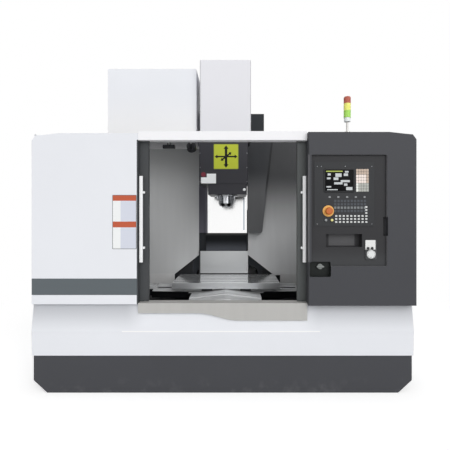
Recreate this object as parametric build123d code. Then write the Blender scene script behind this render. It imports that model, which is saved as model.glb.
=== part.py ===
from build123d import *
import math
import os

os.makedirs("parts", exist_ok=True)

# Vertical machining centre, in millimetres. X runs to the right, Y away from the operator, Z up.
# The origin is at floor level under the middle of the machine.

# Overall places
half_width = 1612
front_y = -1170
front_depth = 45
rear_y = 1250
sheet = 3
seat = 0.3
foot_gap = 15
plinth_top = 320
crease_z = 527
skirt_top = 755
panel_top = 2200
beam_bottom = 2140
beam_top = 2217
guard_top = 2530
side_corner = 62

# Base tray
tray_inset = 8
tray_setback = 22
tray_wall = 5
tray_chamfer_x = 115
tray_chamfer_z = 125
tray_gap = 30

# Levelling feet
pad_radius = 55
pad_height = 22
stud_radius = 15
nut_radius = 27
nut_height = 18
tray_foot_radius = 40
tray_foot_inset = 210
tray_foot_y = (-1000, 380)

# Bed and column
bed_half = 560
bed_front = -1060
bed_bottom = 60
bed_top = 520
bed_wall = 60
bed_pockets = 4
bed_foot_inset = 120
channel_half = 110
channel_floor = 460
bearing_length = 30
y_motor_inset = 20
column_half = 476
column_foot_top = 1000
column_front = 480
column_depth = 450
column_top = 2829
column_pockets = 3
column_pocket_front = 130
arch_half = 400
arch_top = 900
column_wall = 45
z_channel_half = 75
z_channel_depth = 60
z_rail_low = 1180
z_rail_high = 2790
rail_width = 44
rail_height = 40
screw_radius = 20
journal_length = 20
motor_side = 130
motor_length = 185

# Lower front panel
skirt_recess = 35
skirt_foot_in = 10
flange = 60

# Door opening, sill and doors
opening_half = 714
sill_top = 767
sill_low = 620
sill_high = 683
sill_step_left = -149
sill_step_right = 20
door_gap = 10
door_thick = 40
door_width = 800
door_open_edge = 638
door_bottom = 772
door_top = 2190
stile_width = 87
window_margin = 150
window_bottom = 1130
window_top = 1960
glass = 8
handle_outer = 709
handle_width = 30
handle_bar = 20
handle_reach = 20
handle_low = 1109
handle_high = 1841
post_low = 1237
post_high = 1705
post_side = 20
door_rail_depth = 30
door_rail_bottom = 2150
door_rail_inset = 112

# Side panels and inner guards
louvre_count = 8
louvre_pitch = 26
louvre_height = 8
shoulder_back = 120
shoulder_front = 320
side_gap = 22
guard_front = -1030
guard_y = 427
bay_left = -366
bay_right = 266
guard_low = 733
notch_left = -652
notch_right = 615
notch_width = 65
notch_z = 914
diagonal_z = 1173
pan_rim = 640
pan_edge = 600
pan_drain = 480
apron_y = 396
apron_low = 751
apron_high = 1047
hose_guard_depth = 97
hose_guard_low = 1281
hose_guard_low_width = 178
hose_guard_high_width = 317
hose_guard_high = 2445

# Saddle, table and their drives
y_travel = 600
x_travel = 550
z_travel = 650
saddle_rest_y = 80
saddle_length_y = 560
saddle_half = 420
saddle_reserve = 300
saddle_wing_y = 440
saddle_wing_taper = 40
x_motor_half = 60
x_channel_half = 45
saddle_bottom = 566
saddle_top = 640
bed_rail_x = 300
block_length = 130
block_width = 100
y_screw_z = 500
x_screw_z = 620
x_rail_y = 150
x_rail_width = 34
x_rail_height = 24
table_length = 1200
table_width = 600
table_bottom = 688
table_top = 754
slot_count = 5
slot_pitch = 100
slot_width = 18
slot_head = 30
slot_neck = 26
slot_foot = 14

# Telescopic covers
cover_sheet = 2.5
cover_layer = 6
cover_half = 380
cover_ridge = 684
cover_slope = 0.118
cover_leg = 575
front_stages = 3
rear_stages = 2
z_stages = 2
front_cover_overlap = 45
rear_cover_overlap = 30
z_cover_overlap = 25
cover_lip = 12
cover_overlap_step = 4
z_cover_left = -286
z_cover_right = 257
z_cover_y = 402
z_cover_top = 1925
z_cover_back = 462

# Head and spindle
spindle_y = -220
head_half = 150
head_front = -370
head_bottom = 1800
head_roof = 2330
head_keel_y = -60
head_haunch_y = 150
head_haunch_drop = 35
slide_half = 230
slide_thick = 58
slide_height = 500
z_rail_x = 180
z_screw_y = 462
body_left = -278
body_right = 238
body_front = -420
body_back = 100
body_step_z = 1836
throat_left = -210
throat_right = 227
cover_half_width = 269
cover_height = 810
cover_back = 60
spindle_motor_side = 250
spindle_motor_length = 520
cartridge_radius = 90
flange_radius = 134
flange_low = 1713
nose_radius = 81
nose_low = 1606
shaft_radius = 45
shaft_low = 1600
taper_mouth = 22.2
taper_depth = 65
taper_ratio = 7 / 48
drawbar_radius = 14.5
nozzle_count = 6
nozzle_circle = 108
nozzle_radius = 11
nozzle_body = 22
nozzle_tip_radius = 6
nozzle_length = 44

# Tool magazine
magazine_left = -1274
magazine_right = -316
magazine_front = -320
magazine_depth = 420
magazine_low = 2300
magazine_high = 3089
magazine_back_plate = 12
disc_x = -795
disc_z = 2700
pot_circle = 300
pot_count = 24
pot_radius = 31
pot_length = 110
hub_radius = 35
hub_front = 170
hub_boss = 40
disc_setback = 180
disc_thick = 36
disc_rim_in = 14
disc_hole_count = 6
disc_hole_circle = 170
disc_hole_radius = 52
beam_side = 70
beam_pitch = 160
beam_rise = 250
beam_foot = 60
beam_plate_thick = 10

# Control housing and what is on it
housing_proud = 50
inset_left = 739
inset_right = 1365
inset_low = 1083
inset_high = 2010
inset_depth = 20
panel_left = 764
panel_right = 1265
panel_low = 1417
panel_high = 1952
panel_thick = 5
screen_left = 856
screen_right = 1089
screen_low = 1709
screen_high = 1885
screen_sink = 3
stop_x = 881
stop_z = 1542
stop_radius = 30
stop_ring = 46
stop_front = -1250
stop_travel = 6
push_radius = 11
push_x = (860, 910)
push_z = 1467
push_travel = 3
key_x = 947
key_pitch_x = 31.3
key_columns = 9
key_z = 1501
key_pitch_z = 25
key_side = 17
shelf_left = 864
shelf_right = 1164
shelf_low = 1242
shelf_high = 1350
shelf_depth = 60
unit_left = 1190
unit_right = 1281
unit_low = 1140
unit_high = 1300
unit_thick = 8
dial_x = 1235
dial_z = 1183
dial_radius = 36
knob_x = (1210, 1244)
knob_z = 1233
knob_radius = 10
grip_left = 1340
grip_right = 1373
grip_low = 1334
grip_high = 1492
grip_depth = 25
recess_left = 722
recess_right = 900
recess_low = 995
recess_high = 1119
recess_depth = 45
mode_x = 817
mode_z = 1078
mode_radius = 22

# Signal tower and work lamps
tower_x = 1048
tower_radius = 29
pole_top = 2293
collar_top = 2327
lens_height = 59
lamp_x = (-492, -294)
lug_thick = 12
lamp_pin_z = 2165
lamp_pin_radius = 6
lamp_pin_half = 18
lamp_reach = 80
bar_lamp_drop = 24
bar_lamp_half = 53
bar_lamp_height = 34
round_lamp_drop = 38
round_lamp_back = 40
round_lamp_radius = 44
round_lamp_depth = 46
round_lamp_tilt = 60

# Electrical cabinet
cabinet_half = 520
cabinet_low = 330
cabinet_high = 2250
cabinet_gap = 10
bracket_height = 50
bracket_inset = 80
drive_rows = ((3, 300), (5, 220), (8, 120))
drive_row_pitch = 480
drive_depth = 150
drive_inset = 60
cabinet_door_thick = 28
hinge_pin = 5
hinge_barrel = 11
hinge_length = 70
hinge_out = 14
hinge_inset = 200

# Derived places
column_foot_half = bed_half
door_rail_half = half_width - door_rail_inset
saddle_wing = x_travel + saddle_reserve
front_cover_length = y_travel / front_stages + front_cover_overlap
rear_cover_length = y_travel / rear_stages + rear_cover_overlap
z_cover_step = z_travel / z_stages
z_cover_length = z_cover_step + z_cover_overlap
front_back = front_y + front_depth
housing_y = front_y - housing_proud
inset_y = housing_y + inset_depth
door_y = front_back + door_gap
door_back = door_y + door_thick
wall_x = half_width - sheet
guard_x = half_width - side_gap
column_back = column_front + column_depth
saddle_front = saddle_rest_y - saddle_length_y / 2
saddle_rear = saddle_rest_y + saddle_length_y / 2
slide_front = column_front - rail_height - seat - 10 - slide_thick
slide_back = slide_front + slide_thick
top_cover_low = head_roof + sheet
lamp_y = door_back + 5 + door_rail_depth + lamp_reach
magazine_back = magazine_front + magazine_depth
bed_foot_x = bed_half - bed_foot_inset
bed_foot_y = (bed_front + 100, (bed_front + column_back) / 2, column_back - 90)
tray_foot_x = half_width - tray_foot_inset
y_motor_front = bed_front + y_motor_inset
y_bearing_y = (bed_front + 240, guard_y - 27)
z_bearing_low = (z_rail_low, z_rail_low + 40)
z_bearing_high = (column_top - 60, column_top)
x_bearing_x = saddle_wing - bearing_length
front_cover_start = bed_front + 3
front_cover_pitch = (saddle_front - front_cover_length - front_cover_start) / front_stages
z_cover_low = z_cover_top - z_cover_length
z_cover_pitch = z_cover_step + 2
x_screw_half = x_bearing_x + bearing_length - 12
y_screw_ends = (y_bearing_y[0] + 4, y_bearing_y[1] + bearing_length - 4)
z_screw_ends = (z_bearing_low[0] + 4, z_bearing_high[1] - 24)
hinge_x = -cabinet_half - hinge_out
hinge_y = rear_y - cabinet_door_thick / 2
hinge_places = (cabinet_low + hinge_inset, (cabinet_low + cabinet_high) / 2, cabinet_high - hinge_inset)


def block(x, y, z):
    """A rectangular block between two places on each axis."""
    size = (x[1] - x[0], y[1] - y[0], z[1] - z[0])
    return Pos(x[0], y[0], z[0]) * Box(*size, align=(Align.MIN, Align.MIN, Align.MIN))


def prism_y(points, y):
    """An outline of (x, z) points, drawn out between two places on Y."""
    plane = Plane(origin=(0, y[1], 0), x_dir=(1, 0, 0), z_dir=(0, -1, 0))
    return extrude(plane * make_face(Polyline(*points, close=True)), amount=y[1] - y[0])


def prism_x(points, x):
    """An outline of (y, z) points, drawn out between two places on X."""
    plane = Plane(origin=(x[0], 0, 0), x_dir=(0, 1, 0), z_dir=(1, 0, 0))
    return extrude(plane * make_face(Polyline(*points, close=True)), amount=x[1] - x[0])


def prism_z(points, z):
    """An outline of (x, y) points, drawn out between two heights."""
    plane = Plane(origin=(0, 0, z[0]), x_dir=(1, 0, 0), z_dir=(0, 0, 1))
    return extrude(plane * make_face(Polyline(*points, close=True)), amount=z[1] - z[0])


def rod_z(x, y, radius, z):
    """A round bar that stands upright."""
    return Pos(x, y, z[0]) * Cylinder(radius, z[1] - z[0], align=(Align.CENTER, Align.CENTER, Align.MIN))


def rod_y(x, z, radius, y):
    """A round bar that runs front to back."""
    middle = (y[0] + y[1]) / 2
    return Pos(x, middle, z) * Rot(90, 0, 0) * Cylinder(radius, y[1] - y[0])


def rod_x(y, z, radius, x):
    """A round bar that runs left to right."""
    middle = (x[0] + x[1]) / 2
    return Pos(middle, y, z) * Rot(0, 90, 0) * Cylinder(radius, x[1] - x[0])


def mirrored(shape):
    """The same shape on the other side of the machine."""
    return mirror(shape, about=Plane.YZ)


def joined(first, *others):
    """One solid made of pieces that touch or overlap."""
    for other in others:
        first = first + other
    return first


def save(shape, name):
    export_step(shape, f"parts/{name}.step")


# Levelling feet: six under the bed and four smaller ones under the tray
def levelling_feet():
    feet = []
    for side in (-1, 1):
        for y in bed_foot_y:
            pad = rod_z(side * bed_foot_x, y, pad_radius, (0, pad_height))
            pad = chamfer(pad.edges().group_by(Axis.Z)[-1], 6)
            stud = rod_z(side * bed_foot_x, y, stud_radius, (0, bed_bottom))
            nut_plane = Plane(origin=(side * bed_foot_x, y, pad_height + 8))
            nut = extrude(nut_plane * RegularPolygon(nut_radius, 6), amount=nut_height)
            feet.append(joined(pad, stud, nut))
        for y in tray_foot_y:
            feet.append(rod_z(side * tray_foot_x, y, tray_foot_radius, (0, foot_gap)))
    return Compound(children=[foot.solid() for foot in feet])


# Bed: one ribbed casting with two guide rails and a channel for the Y screw
def bearing_along_y(y, x, z, half, low, high):
    """A bearing block for a screw that runs front to back."""
    body = block((x - half, x + half), (y, y + bearing_length), (low, high))
    return body - rod_y(x, z, screw_radius + seat, (y - 1, y + bearing_length + 1))


def machine_bed():
    bed = block((-bed_half, bed_half), (bed_front, column_back), (bed_bottom, bed_top))
    inner = (bed_half - bed_wall) / 2
    pitch = (column_back - bed_front - bed_wall) / bed_pockets
    for row in range(bed_pockets):
        y = bed_front + bed_wall + row * pitch
        for x in (-bed_half + bed_wall, bed_wall / 2):
            bed -= block((x, x + 2 * inner - bed_wall / 2), (y, y + pitch - bed_wall), (0, bed_top - 100))
        for side in (-1, 1):
            face = sorted((side * bed_half, side * (bed_half - 25)))
            bed -= block(face, (y + 40, y + pitch - 100), (bed_bottom + 90, bed_top - 130))
    top = (channel_floor, bed_top + 1)
    rear_end = y_bearing_y[1] + bearing_length
    bed -= block((-channel_half, channel_half), (bed_front - 1, rear_end), top)
    bed -= block((-channel_half, channel_half), (bed_front - 1, y_bearing_y[0]),
                 (y_screw_z - motor_side / 2 - 5, bed_top + 1))
    for x in (-bed_foot_x, bed_foot_x):
        for y in bed_foot_y:
            bed += rod_z(x, y, pad_radius, (bed_bottom, bed_top - 90))
    for y in y_bearing_y:
        bed += bearing_along_y(y, 0, y_screw_z, channel_half, channel_floor - 1, bed_top + 15)
    motor = block((-motor_side / 2, motor_side / 2), (y_motor_front, y_bearing_y[0]),
                  (y_screw_z - motor_side / 2, y_screw_z + motor_side / 2))
    bed += fillet(motor.edges().filter_by(Axis.Y), 14)
    half = rail_width / 2
    rail = block((-half, half), (bed_front + 60, guard_y - 7), (bed_top, bed_top + rail_height))
    for side in (-1, 1):
        bed += Pos(side * bed_rail_x, 0, 0) * rail
    return bed


# Column: one casting with an arch at its foot, two rails, screw bearings and the Z motor on top
def column():
    foot = column_foot_half
    shoulder = (column_foot_top - 120, column_foot_top + 180)
    outline = [(-foot, bed_top), (foot, bed_top), (foot, shoulder[0]), (column_half, shoulder[1]),
               (column_half, column_top), (-column_half, column_top), (-column_half, shoulder[1]),
               (-foot, shoulder[0])]
    y = (column_front, column_back)
    casting = prism_y(outline, y)
    rise = arch_top - bed_top
    arch = block((-arch_half, arch_half), (y[0] - 1, y[1] + 1), (bed_top - 1, bed_top + rise * 0.6))
    crown = Plane(origin=(0, y[1] + 1, bed_top + rise * 0.6), x_dir=(1, 0, 0), z_dir=(0, -1, 0))
    arch += extrude(crown * Ellipse(arch_half, rise * 0.4), amount=y[1] - y[0] + 2)
    casting -= arch
    low = column_foot_top + 200
    pitch = (column_top - column_wall - low) / column_pockets
    inner = column_half - column_wall
    pocket_front = column_front + column_pocket_front
    for row in range(column_pockets):
        z = low + row * pitch
        casting -= block((-inner, inner), (pocket_front, column_back + 1), (z, z + pitch - column_wall))
    casting -= block((-z_channel_half, z_channel_half), (column_front - 1, column_front + z_channel_depth),
                     (z_rail_low, column_top + 1))
    rail_front = column_front - rail_height
    for z in (z_bearing_low, z_bearing_high):
        bearing = block((-z_channel_half, z_channel_half), (rail_front, column_front + z_channel_depth), z)
        casting += bearing - rod_z(0, z_screw_y, screw_radius + seat, (z[0] - 1, z[1] + 1))
    rail = block((-rail_width / 2, rail_width / 2), (rail_front, column_front), (z_rail_low, z_rail_high))
    for side in (-1, 1):
        casting += Pos(side * z_rail_x, 0, 0) * rail
    half = motor_side / 2
    motor_y = (z_screw_y - half, z_screw_y + half)
    motor = block((-half, half), motor_y, (column_top, column_top + motor_length))
    return casting + fillet(motor.edges().filter_by(Axis.Z), 14)


# Base tray: a welded coolant tank in a U round the bed, with its two lower corners cut off
def base_tray():
    half = half_width - tray_inset

    def outline(inside):
        low = foot_gap + inside
        edge = half - inside
        return [(-edge + tray_chamfer_x, low), (edge - tray_chamfer_x, low), (edge, low + tray_chamfer_z),
                (edge, plinth_top + 1), (-edge, plinth_top + 1), (-edge, low + tray_chamfer_z)]

    front = front_y + tray_setback
    middle = bed_half + tray_gap
    behind = column_front
    tray = prism_y(outline(0), (front, behind))
    tray -= block((-half - 1, half + 1), (front - 1, behind + 1), (plinth_top, plinth_top + 2))
    tray -= block((-middle, middle), (bed_front - tray_gap, behind + 1), (0, plinth_top + 1))
    hollow = prism_y(outline(tray_wall), (front + tray_wall, behind - tray_wall))
    hollow -= block((-middle - tray_wall, middle + tray_wall), (bed_front - tray_gap - tray_wall, behind + 1),
                    (0, plinth_top + 2))
    return tray - hollow


# Lower front panel: a folded sheet that leans out to a crease and runs down to the tray
def lower_front_panel():
    face = front_y
    top = face + skirt_recess
    foot = face + skirt_foot_in
    section = [(top, skirt_top), (face, crease_z), (foot, plinth_top), (foot + flange, plinth_top),
               (foot + flange, plinth_top + sheet), (foot + sheet, plinth_top + sheet),
               (face + sheet, crease_z), (top + sheet, skirt_top - sheet), (top + flange, skirt_top - sheet),
               (top + flange, skirt_top)]
    return prism_x(section, (-wall_x, wall_x))


# Door sill: a folded plate with a wave in its lower edge, and the threshold under the doors
def door_sill():
    face = front_y - 2
    plate = 4
    back = door_back + 7
    section = [(face, sill_low), (face, sill_top), (back, sill_top), (back, skirt_top),
               (face + plate, skirt_top), (face + plate, sill_low)]
    edge = opening_half - 1
    sill = prism_x(section, (-edge, edge))
    step = sill_step_right - sill_step_left
    plane = Plane(origin=(0, front_y + 10, 0), x_dir=(1, 0, 0), z_dir=(0, -1, 0))
    wave = Spline((sill_step_left, sill_high), (sill_step_left + step / 2, (sill_high + sill_low) / 2),
                  (sill_step_right, sill_low), tangents=[(1, 0), (1, 0)])
    cut = make_face([Line((-edge - 1, sill_high), (sill_step_left, sill_high)), wave,
                     Line((sill_step_right, sill_low), (sill_step_right, sill_low - 10)),
                     Line((sill_step_right, sill_low - 10), (-edge - 1, sill_low - 10)),
                     Line((-edge - 1, sill_low - 10), (-edge - 1, sill_high))])
    return sill - extrude(plane * cut, amount=20)


# Upper front panels share one outline: a long low slope and a round outer corner
def panel_outline(inside):
    edge = half_width - inside
    top = panel_top - inside
    low = skirt_top + inside
    inner = opening_half + inside
    return [(inner, low), (edge, low), (edge, top - side_corner), (edge - 30, top - side_corner / 3),
            (edge - 100, top - 14), (edge - 225, top), (inner, top)]


def left_front_panel():
    pan = prism_y(panel_outline(0), (front_y, front_back))
    pan = fillet(pan.edges().group_by(Axis.Y)[0], 5)
    pan -= prism_y(panel_outline(sheet), (front_y + sheet, front_back + 1))
    return mirrored(pan)


def control_housing():
    body = prism_y(panel_outline(0), (housing_y, front_back))
    body = fillet(body.edges().group_by(Axis.Y)[0], 9)
    inset = block((inset_left, inset_right), (housing_y - 1, inset_y), (inset_low, inset_high))
    body -= fillet(inset.edges().filter_by(Axis.Y), 12)
    body -= block((shelf_left, shelf_right), (housing_y, inset_y + shelf_depth), (shelf_low, shelf_high))
    grip = block((grip_left, grip_right), (housing_y - 1, inset_y + grip_depth), (grip_low, grip_high))
    body -= fillet(grip.edges().filter_by(Axis.Y), 8)
    recess_y = (housing_y - 1, housing_y + recess_depth)
    recess = block((recess_left, recess_right), recess_y, (recess_low, recess_high))
    body -= fillet(recess.edges().filter_by(Axis.Y), 14)
    body -= rod_y(stop_x, stop_z, 14, (inset_y - 1, inset_y + 25))
    for x in push_x:
        body -= rod_y(x, push_z, 9, (inset_y - 1, inset_y + 15))
    return body


# Top beam: a channel over the doors, with the long rail that they hang on and two lamp lugs
def top_beam():
    edge = opening_half - 1
    rail_front = door_back + 5
    rail_back = rail_front + door_rail_depth
    fascia = block((-edge, edge), (front_y, front_back), (beam_bottom, beam_top))
    fascia = fillet(fascia.edges().group_by(Axis.Y)[0].filter_by(Axis.X), 4)
    fascia -= block((-edge + sheet, edge - sheet), (front_y + sheet, front_back + 1),
                    (beam_bottom + sheet, beam_top - sheet))
    web = block((-edge, edge), (front_back - 1, rail_back), (beam_top - sheet, beam_top))
    rail = block((-door_rail_half, door_rail_half), (rail_front, rail_back), (door_rail_bottom, panel_top))
    riser = block((-edge, edge), (rail_back - sheet, rail_back), (panel_top - 1, beam_top))
    beam = joined(fascia, web, riser, rail)
    for side in (-1, 1):
        ends = sorted((side * (door_rail_half - 1), side * wall_x))
        beam += block(ends, (rail_front, rail_back), (panel_top - 20, panel_top))
    for x in lamp_x:
        half = lug_thick / 2
        beam += block((x - half, x + half), (rail_back - 1, lamp_y + 12), (lamp_pin_z - 12, lamp_pin_z + 12))
        beam += rod_x(lamp_y, lamp_pin_z, lamp_pin_radius, (x - lamp_pin_half, x + lamp_pin_half))
    return beam


# Side panels: each is a tall folded sheet with a rear wall that meets the column
def right_side_panel():
    x = (wall_x, half_width)
    side = prism_x([(front_y + skirt_foot_in, plinth_top), (column_front, plinth_top),
                    (column_front, guard_top),
                    (guard_y - shoulder_back, guard_top), (guard_y - shoulder_front, panel_top),
                    (front_back, panel_top), (front_back, skirt_top), (front_y + skirt_recess, skirt_top),
                    (front_y, crease_z)], x)
    rear_x = (column_half - 26, half_width)
    rear = block(rear_x, (column_front - sheet, column_front), (plinth_top, guard_top))
    rear -= block((0, bed_half + seat), (column_front - 10, column_front + 1), (0, bed_top))
    for row in range(louvre_count):
        z = plinth_top + 120 + row * louvre_pitch
        side -= block((wall_x - 1, half_width + 1), (-200, 0), (z, z + louvre_height))
    return side + rear


# Inner guards: a back sheet with a slanted foot beside the table, and a side sheet
def splash_panel(inner, notch):
    outline = [(inner, diagonal_z), (inner, guard_top), (guard_x, guard_top), (guard_x, guard_low),
               (notch + notch_width, guard_low), (notch, notch_z)]
    back = prism_y(outline, (guard_y, guard_y + sheet))
    side = prism_x([(guard_front, pan_rim), (guard_y + 1, pan_rim), (guard_y + 1, guard_top),
                    (guard_y - shoulder_back, guard_top), (guard_y - shoulder_front, panel_top),
                    (guard_front, panel_top)], (guard_x - sheet, guard_x))
    lip_back = guard_y - shoulder_front - 10
    lip = block((guard_x - 1, wall_x), (guard_front, lip_back), (panel_top - sheet, panel_top))
    return joined(back, side, lip)


# Chip pan: a welded tray with a sloped wing on each side of the bed
def chip_pan():
    front = door_back + 9
    wing = prism_y([(bed_half, pan_drain), (bed_half + sheet, pan_drain), (guard_x - 2 * sheet, pan_edge),
                    (guard_x - 2 * sheet, pan_rim + 30), (guard_x - sheet, pan_rim + 30),
                    (guard_x - sheet, pan_edge - sheet), (bed_half + sheet, pan_drain - sheet),
                    (bed_half, pan_drain - sheet)], (front, guard_y - sheet))
    wing += block((bed_half, bed_half + sheet), (bed_front, guard_y - sheet), (pan_drain - sheet, bed_top))
    rear = block((bed_half, guard_x - sheet), (guard_y - sheet, guard_y), (pan_drain - sheet, guard_low + 20))
    rear -= block((0, notch_right + notch_width), (guard_y - 10, guard_y + 10), (bed_top, guard_low + 30))
    wall = block((-guard_x + sheet, guard_x - sheet), (front - sheet, front), (pan_drain - sheet, skirt_top))
    half = wing + rear
    return joined(wall, half, mirrored(half))


def column_apron():
    plate = block((bay_left + 2, bay_right - 1), (apron_y, apron_y + sheet), (apron_low, apron_high))
    for x in ((bay_left + 2, bay_left + 2 + sheet), (bay_right - 1 - sheet, bay_right - 1)):
        plate += block(x, (apron_y, column_front), (apron_low, apron_high))
    return plate


def hose_guard():
    left = bay_right - 4
    low = (left + hose_guard_low_width, hose_guard_low)
    high = (left + hose_guard_high_width, hose_guard_high)
    outline = [(left, hose_guard_low), low, high, (left, hose_guard_high)]
    duct = prism_y(outline, (guard_y - hose_guard_depth, guard_y))
    upright = duct.edges().filter_by(Axis.Y).sort_by(Axis.Z)[:2]
    duct = fillet(upright, 30)
    return duct - block((left - 1, left + 4 + seat), (guard_y - 1, guard_y + 1), (0, hose_guard_high + 1))


# Saddle: a wide casting on four carriages, with the X rails, screw bearings and X motor
def carriage(length, width, low, high, rail, rail_top):
    body = block((-width / 2, width / 2), (-length / 2, length / 2), (low, high))
    return body - block((-rail / 2 - seat, rail / 2 + seat), (-length, length), (low - 1, rail_top + seat))


def saddle():
    y = saddle_rest_y
    wing_half = saddle_wing_y / 2
    root = (y - wing_half, y + wing_half)
    tip = (root[0] + saddle_wing_taper, root[1] - saddle_wing_taper)
    plan = [(-saddle_half, saddle_front), (saddle_half, saddle_front), (saddle_half, root[0]),
            (saddle_wing, tip[0]), (saddle_wing, tip[1]), (saddle_half, root[1]),
            (saddle_half, saddle_rear), (-saddle_half, saddle_rear), (-saddle_half, root[1]),
            (-saddle_wing, tip[1]), (-saddle_wing, tip[0]), (-saddle_half, root[0])]
    casting = prism_z(plan, (saddle_bottom, saddle_top))
    casting -= block((-saddle_wing - 1, saddle_wing + 1), (y - x_channel_half, y + x_channel_half),
                     (x_screw_z - 40, saddle_top + 1))
    shoe = carriage(block_length, block_width, bed_top + 6, saddle_bottom, rail_width, bed_top + rail_height)
    for side in (-1, 1):
        for end in (-1, 1):
            reach = saddle_length_y / 2 - block_length / 2 - 10
            casting += Pos(side * bed_rail_x, y + end * reach, 0) * shoe
        middle = y + side * x_rail_y
        rail_y = (middle - x_rail_width / 2, middle + x_rail_width / 2)
        rail_z = (saddle_top, saddle_top + x_rail_height)
        casting += block((-saddle_wing + 10, saddle_wing - 10), rail_y, rail_z)
        start = side * x_bearing_x if side > 0 else -saddle_wing
        bearing = block((start, start + bearing_length), (y - x_channel_half, y + x_channel_half),
                        (x_screw_z - 40, x_screw_z + 34))
        casting += bearing - rod_x(y, x_screw_z, screw_radius + seat, (start - 1, start + bearing_length + 1))
    nut = block((-55, 55), (y - 60, y + 60), (y_screw_z - 35, saddle_bottom))
    casting += nut - rod_y(0, y_screw_z, screw_radius + seat, (y - 61, y + 61))
    half = x_motor_half
    motor_x = (-saddle_wing - motor_length, -saddle_wing)
    motor = block(motor_x, (y - half, y + half), (x_screw_z - half, x_screw_z + half))
    return casting + fillet(motor.edges().filter_by(Axis.X), 12)


def table():
    y = saddle_rest_y
    half = table_length / 2
    plate = block((-half, half), (y - table_width / 2, y + table_width / 2), (table_bottom, table_top))
    for slot in range(slot_count):
        middle = y + (slot - (slot_count - 1) / 2) * slot_pitch
        neck = block((-half - 1, half + 1), (middle - slot_width / 2, middle + slot_width / 2),
                     (table_top - slot_neck, table_top + 1))
        foot = block((-half - 1, half + 1), (middle - slot_head / 2, middle + slot_head / 2),
                     (table_top - slot_neck - slot_foot, table_top - slot_neck))
        plate -= neck + foot
    rail_top = saddle_top + x_rail_height
    shoe = Rot(0, 0, 90) * carriage(120, 76, saddle_top + 5, table_bottom, x_rail_width, rail_top)
    for side in (-1, 1):
        for end in (-1, 1):
            plate += Pos(end * 220, y + side * x_rail_y, 0) * shoe
    nut = block((-60, 60), (y - 32, y + 32), (x_screw_z - 32, table_bottom))
    return plate + (nut - rod_x(y, x_screw_z, screw_radius + seat, (-61, 61)))


# Telescopic covers of the Y way: roofed sheets, each sliding over the next
def roof_sheet(half, ridge, thick, leg, y):
    def line(half, ridge):
        return [(-half, ridge - cover_slope * half), (0, ridge), (half, ridge - cover_slope * half)]

    outer = line(half, ridge)
    inner = line(half - thick, ridge - thick)
    outline = [(-half, leg), *outer, (half, leg), (half - thick, leg), *reversed(inner), (-half + thick, leg)]
    return prism_y(outline, y)


def way_cover(layer, y, lip_at_front):
    """A cover sheet, counted in layers below the one on the saddle, with the wiper under its outer end."""
    half = cover_half - layer * cover_layer
    ridge = cover_ridge - layer * cover_layer
    cover = roof_sheet(half, ridge, cover_sheet, cover_leg, y)
    lip = (y[0], y[0] + cover_lip) if lip_at_front else (y[1] - cover_lip, y[1])
    gap = cover_layer - cover_sheet - seat
    return cover + roof_sheet(half - cover_sheet, ridge - cover_sheet, gap, cover_leg, lip)


def front_cover_y(stage):
    start = front_cover_start + stage * front_cover_pitch
    return (start, start + front_cover_length)


def front_way_cover_1():
    y = front_cover_y(0)
    half = cover_half - front_stages * cover_layer
    ridge = cover_ridge - front_stages * cover_layer
    cover = roof_sheet(half, ridge, cover_sheet, cover_leg, y)
    inner = ridge - cover_slope * half
    wall = prism_y([(-half, bed_top), (-half, inner), (0, ridge), (half, inner), (half, bed_top)],
                   (y[0], y[0] + cover_sheet))
    return cover + wall


def rear_cover_y(stage):
    start = saddle_rear + stage * cover_overlap_step
    return (start, start + rear_cover_length)


def rear_way_cover_1():
    half = cover_half - 2 * cover_layer
    return roof_sheet(half, cover_ridge - 2 * cover_layer, cover_sheet, bed_top, rear_cover_y(2))


def saddle_way_covers():
    front = way_cover(0, front_cover_y(front_stages), True)
    rear = way_cover(0, rear_cover_y(0), False)
    return Compound(children=[front.solid(), rear.solid()])


# Telescopic covers of the column: three channel sheets
def channel_sheet(x, y, thick, back, z):
    outside = block(x, (y, back), z)
    return outside - block((x[0] + thick, x[1] - thick), (y + thick, back + 1), (z[0] - 1, z[1] + 1))


def column_way_cover(layer, low, back, lip):
    inward = layer * cover_layer
    x = (z_cover_left + inward, z_cover_right - inward)
    y = z_cover_y + inward
    cover = channel_sheet(x, y, cover_sheet, back, (low, low + z_cover_length))
    if lip:
        gap = cover_layer - cover_sheet - seat
        inside = (x[0] + cover_sheet, x[1] - cover_sheet)
        cover += channel_sheet(inside, y + cover_sheet, gap, back, (low, low + cover_lip))
    return cover


# Head: the casting with its slide, carriages and nut, and the spindle motor on top
def head_casting():
    outline = [(slide_front + 1, z_cover_top), (head_haunch_y, z_cover_top - head_haunch_drop),
               (head_keel_y, head_bottom), (head_front, head_bottom), (head_front, head_roof),
               (slide_front - 60, head_roof), (slide_front + 1, head_roof + 60)]
    arm = prism_x(outline, (-head_half, head_half))
    slide_z = (z_cover_top, z_cover_top + slide_height)
    casting = arm + block((-slide_half, slide_half), (slide_front, slide_back), slide_z)
    casting -= rod_z(0, spindle_y, cartridge_radius + 0.05, (head_bottom - 1, head_roof))
    half = block_width / 2
    shoe = block((-half, half), (slide_back, column_front - 8), (-block_length / 2, block_length / 2))
    groove = rail_width / 2 + seat
    shoe -= block((-groove, groove), (column_front - rail_height - seat, column_front),
                  (-block_length, block_length))
    middle = z_cover_top + slide_height / 2
    for side in (-1, 1):
        for end in (-1, 1):
            reach = slide_height / 2 - block_length / 2 - 10
            casting += Pos(side * z_rail_x, 0, middle + end * reach) * shoe
    nut = block((-55, 55), (slide_back, z_screw_y + 45), (middle - 60, middle + 60))
    casting += nut - rod_z(0, z_screw_y, screw_radius + seat, (middle - 61, middle + 61))
    half = spindle_motor_side / 2
    motor_y = (spindle_y - half, spindle_y + half)
    motor = block((-half, half), motor_y, (head_roof, head_roof + spindle_motor_length))
    return casting + fillet(motor.edges().filter_by(Axis.Z), 30)


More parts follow.
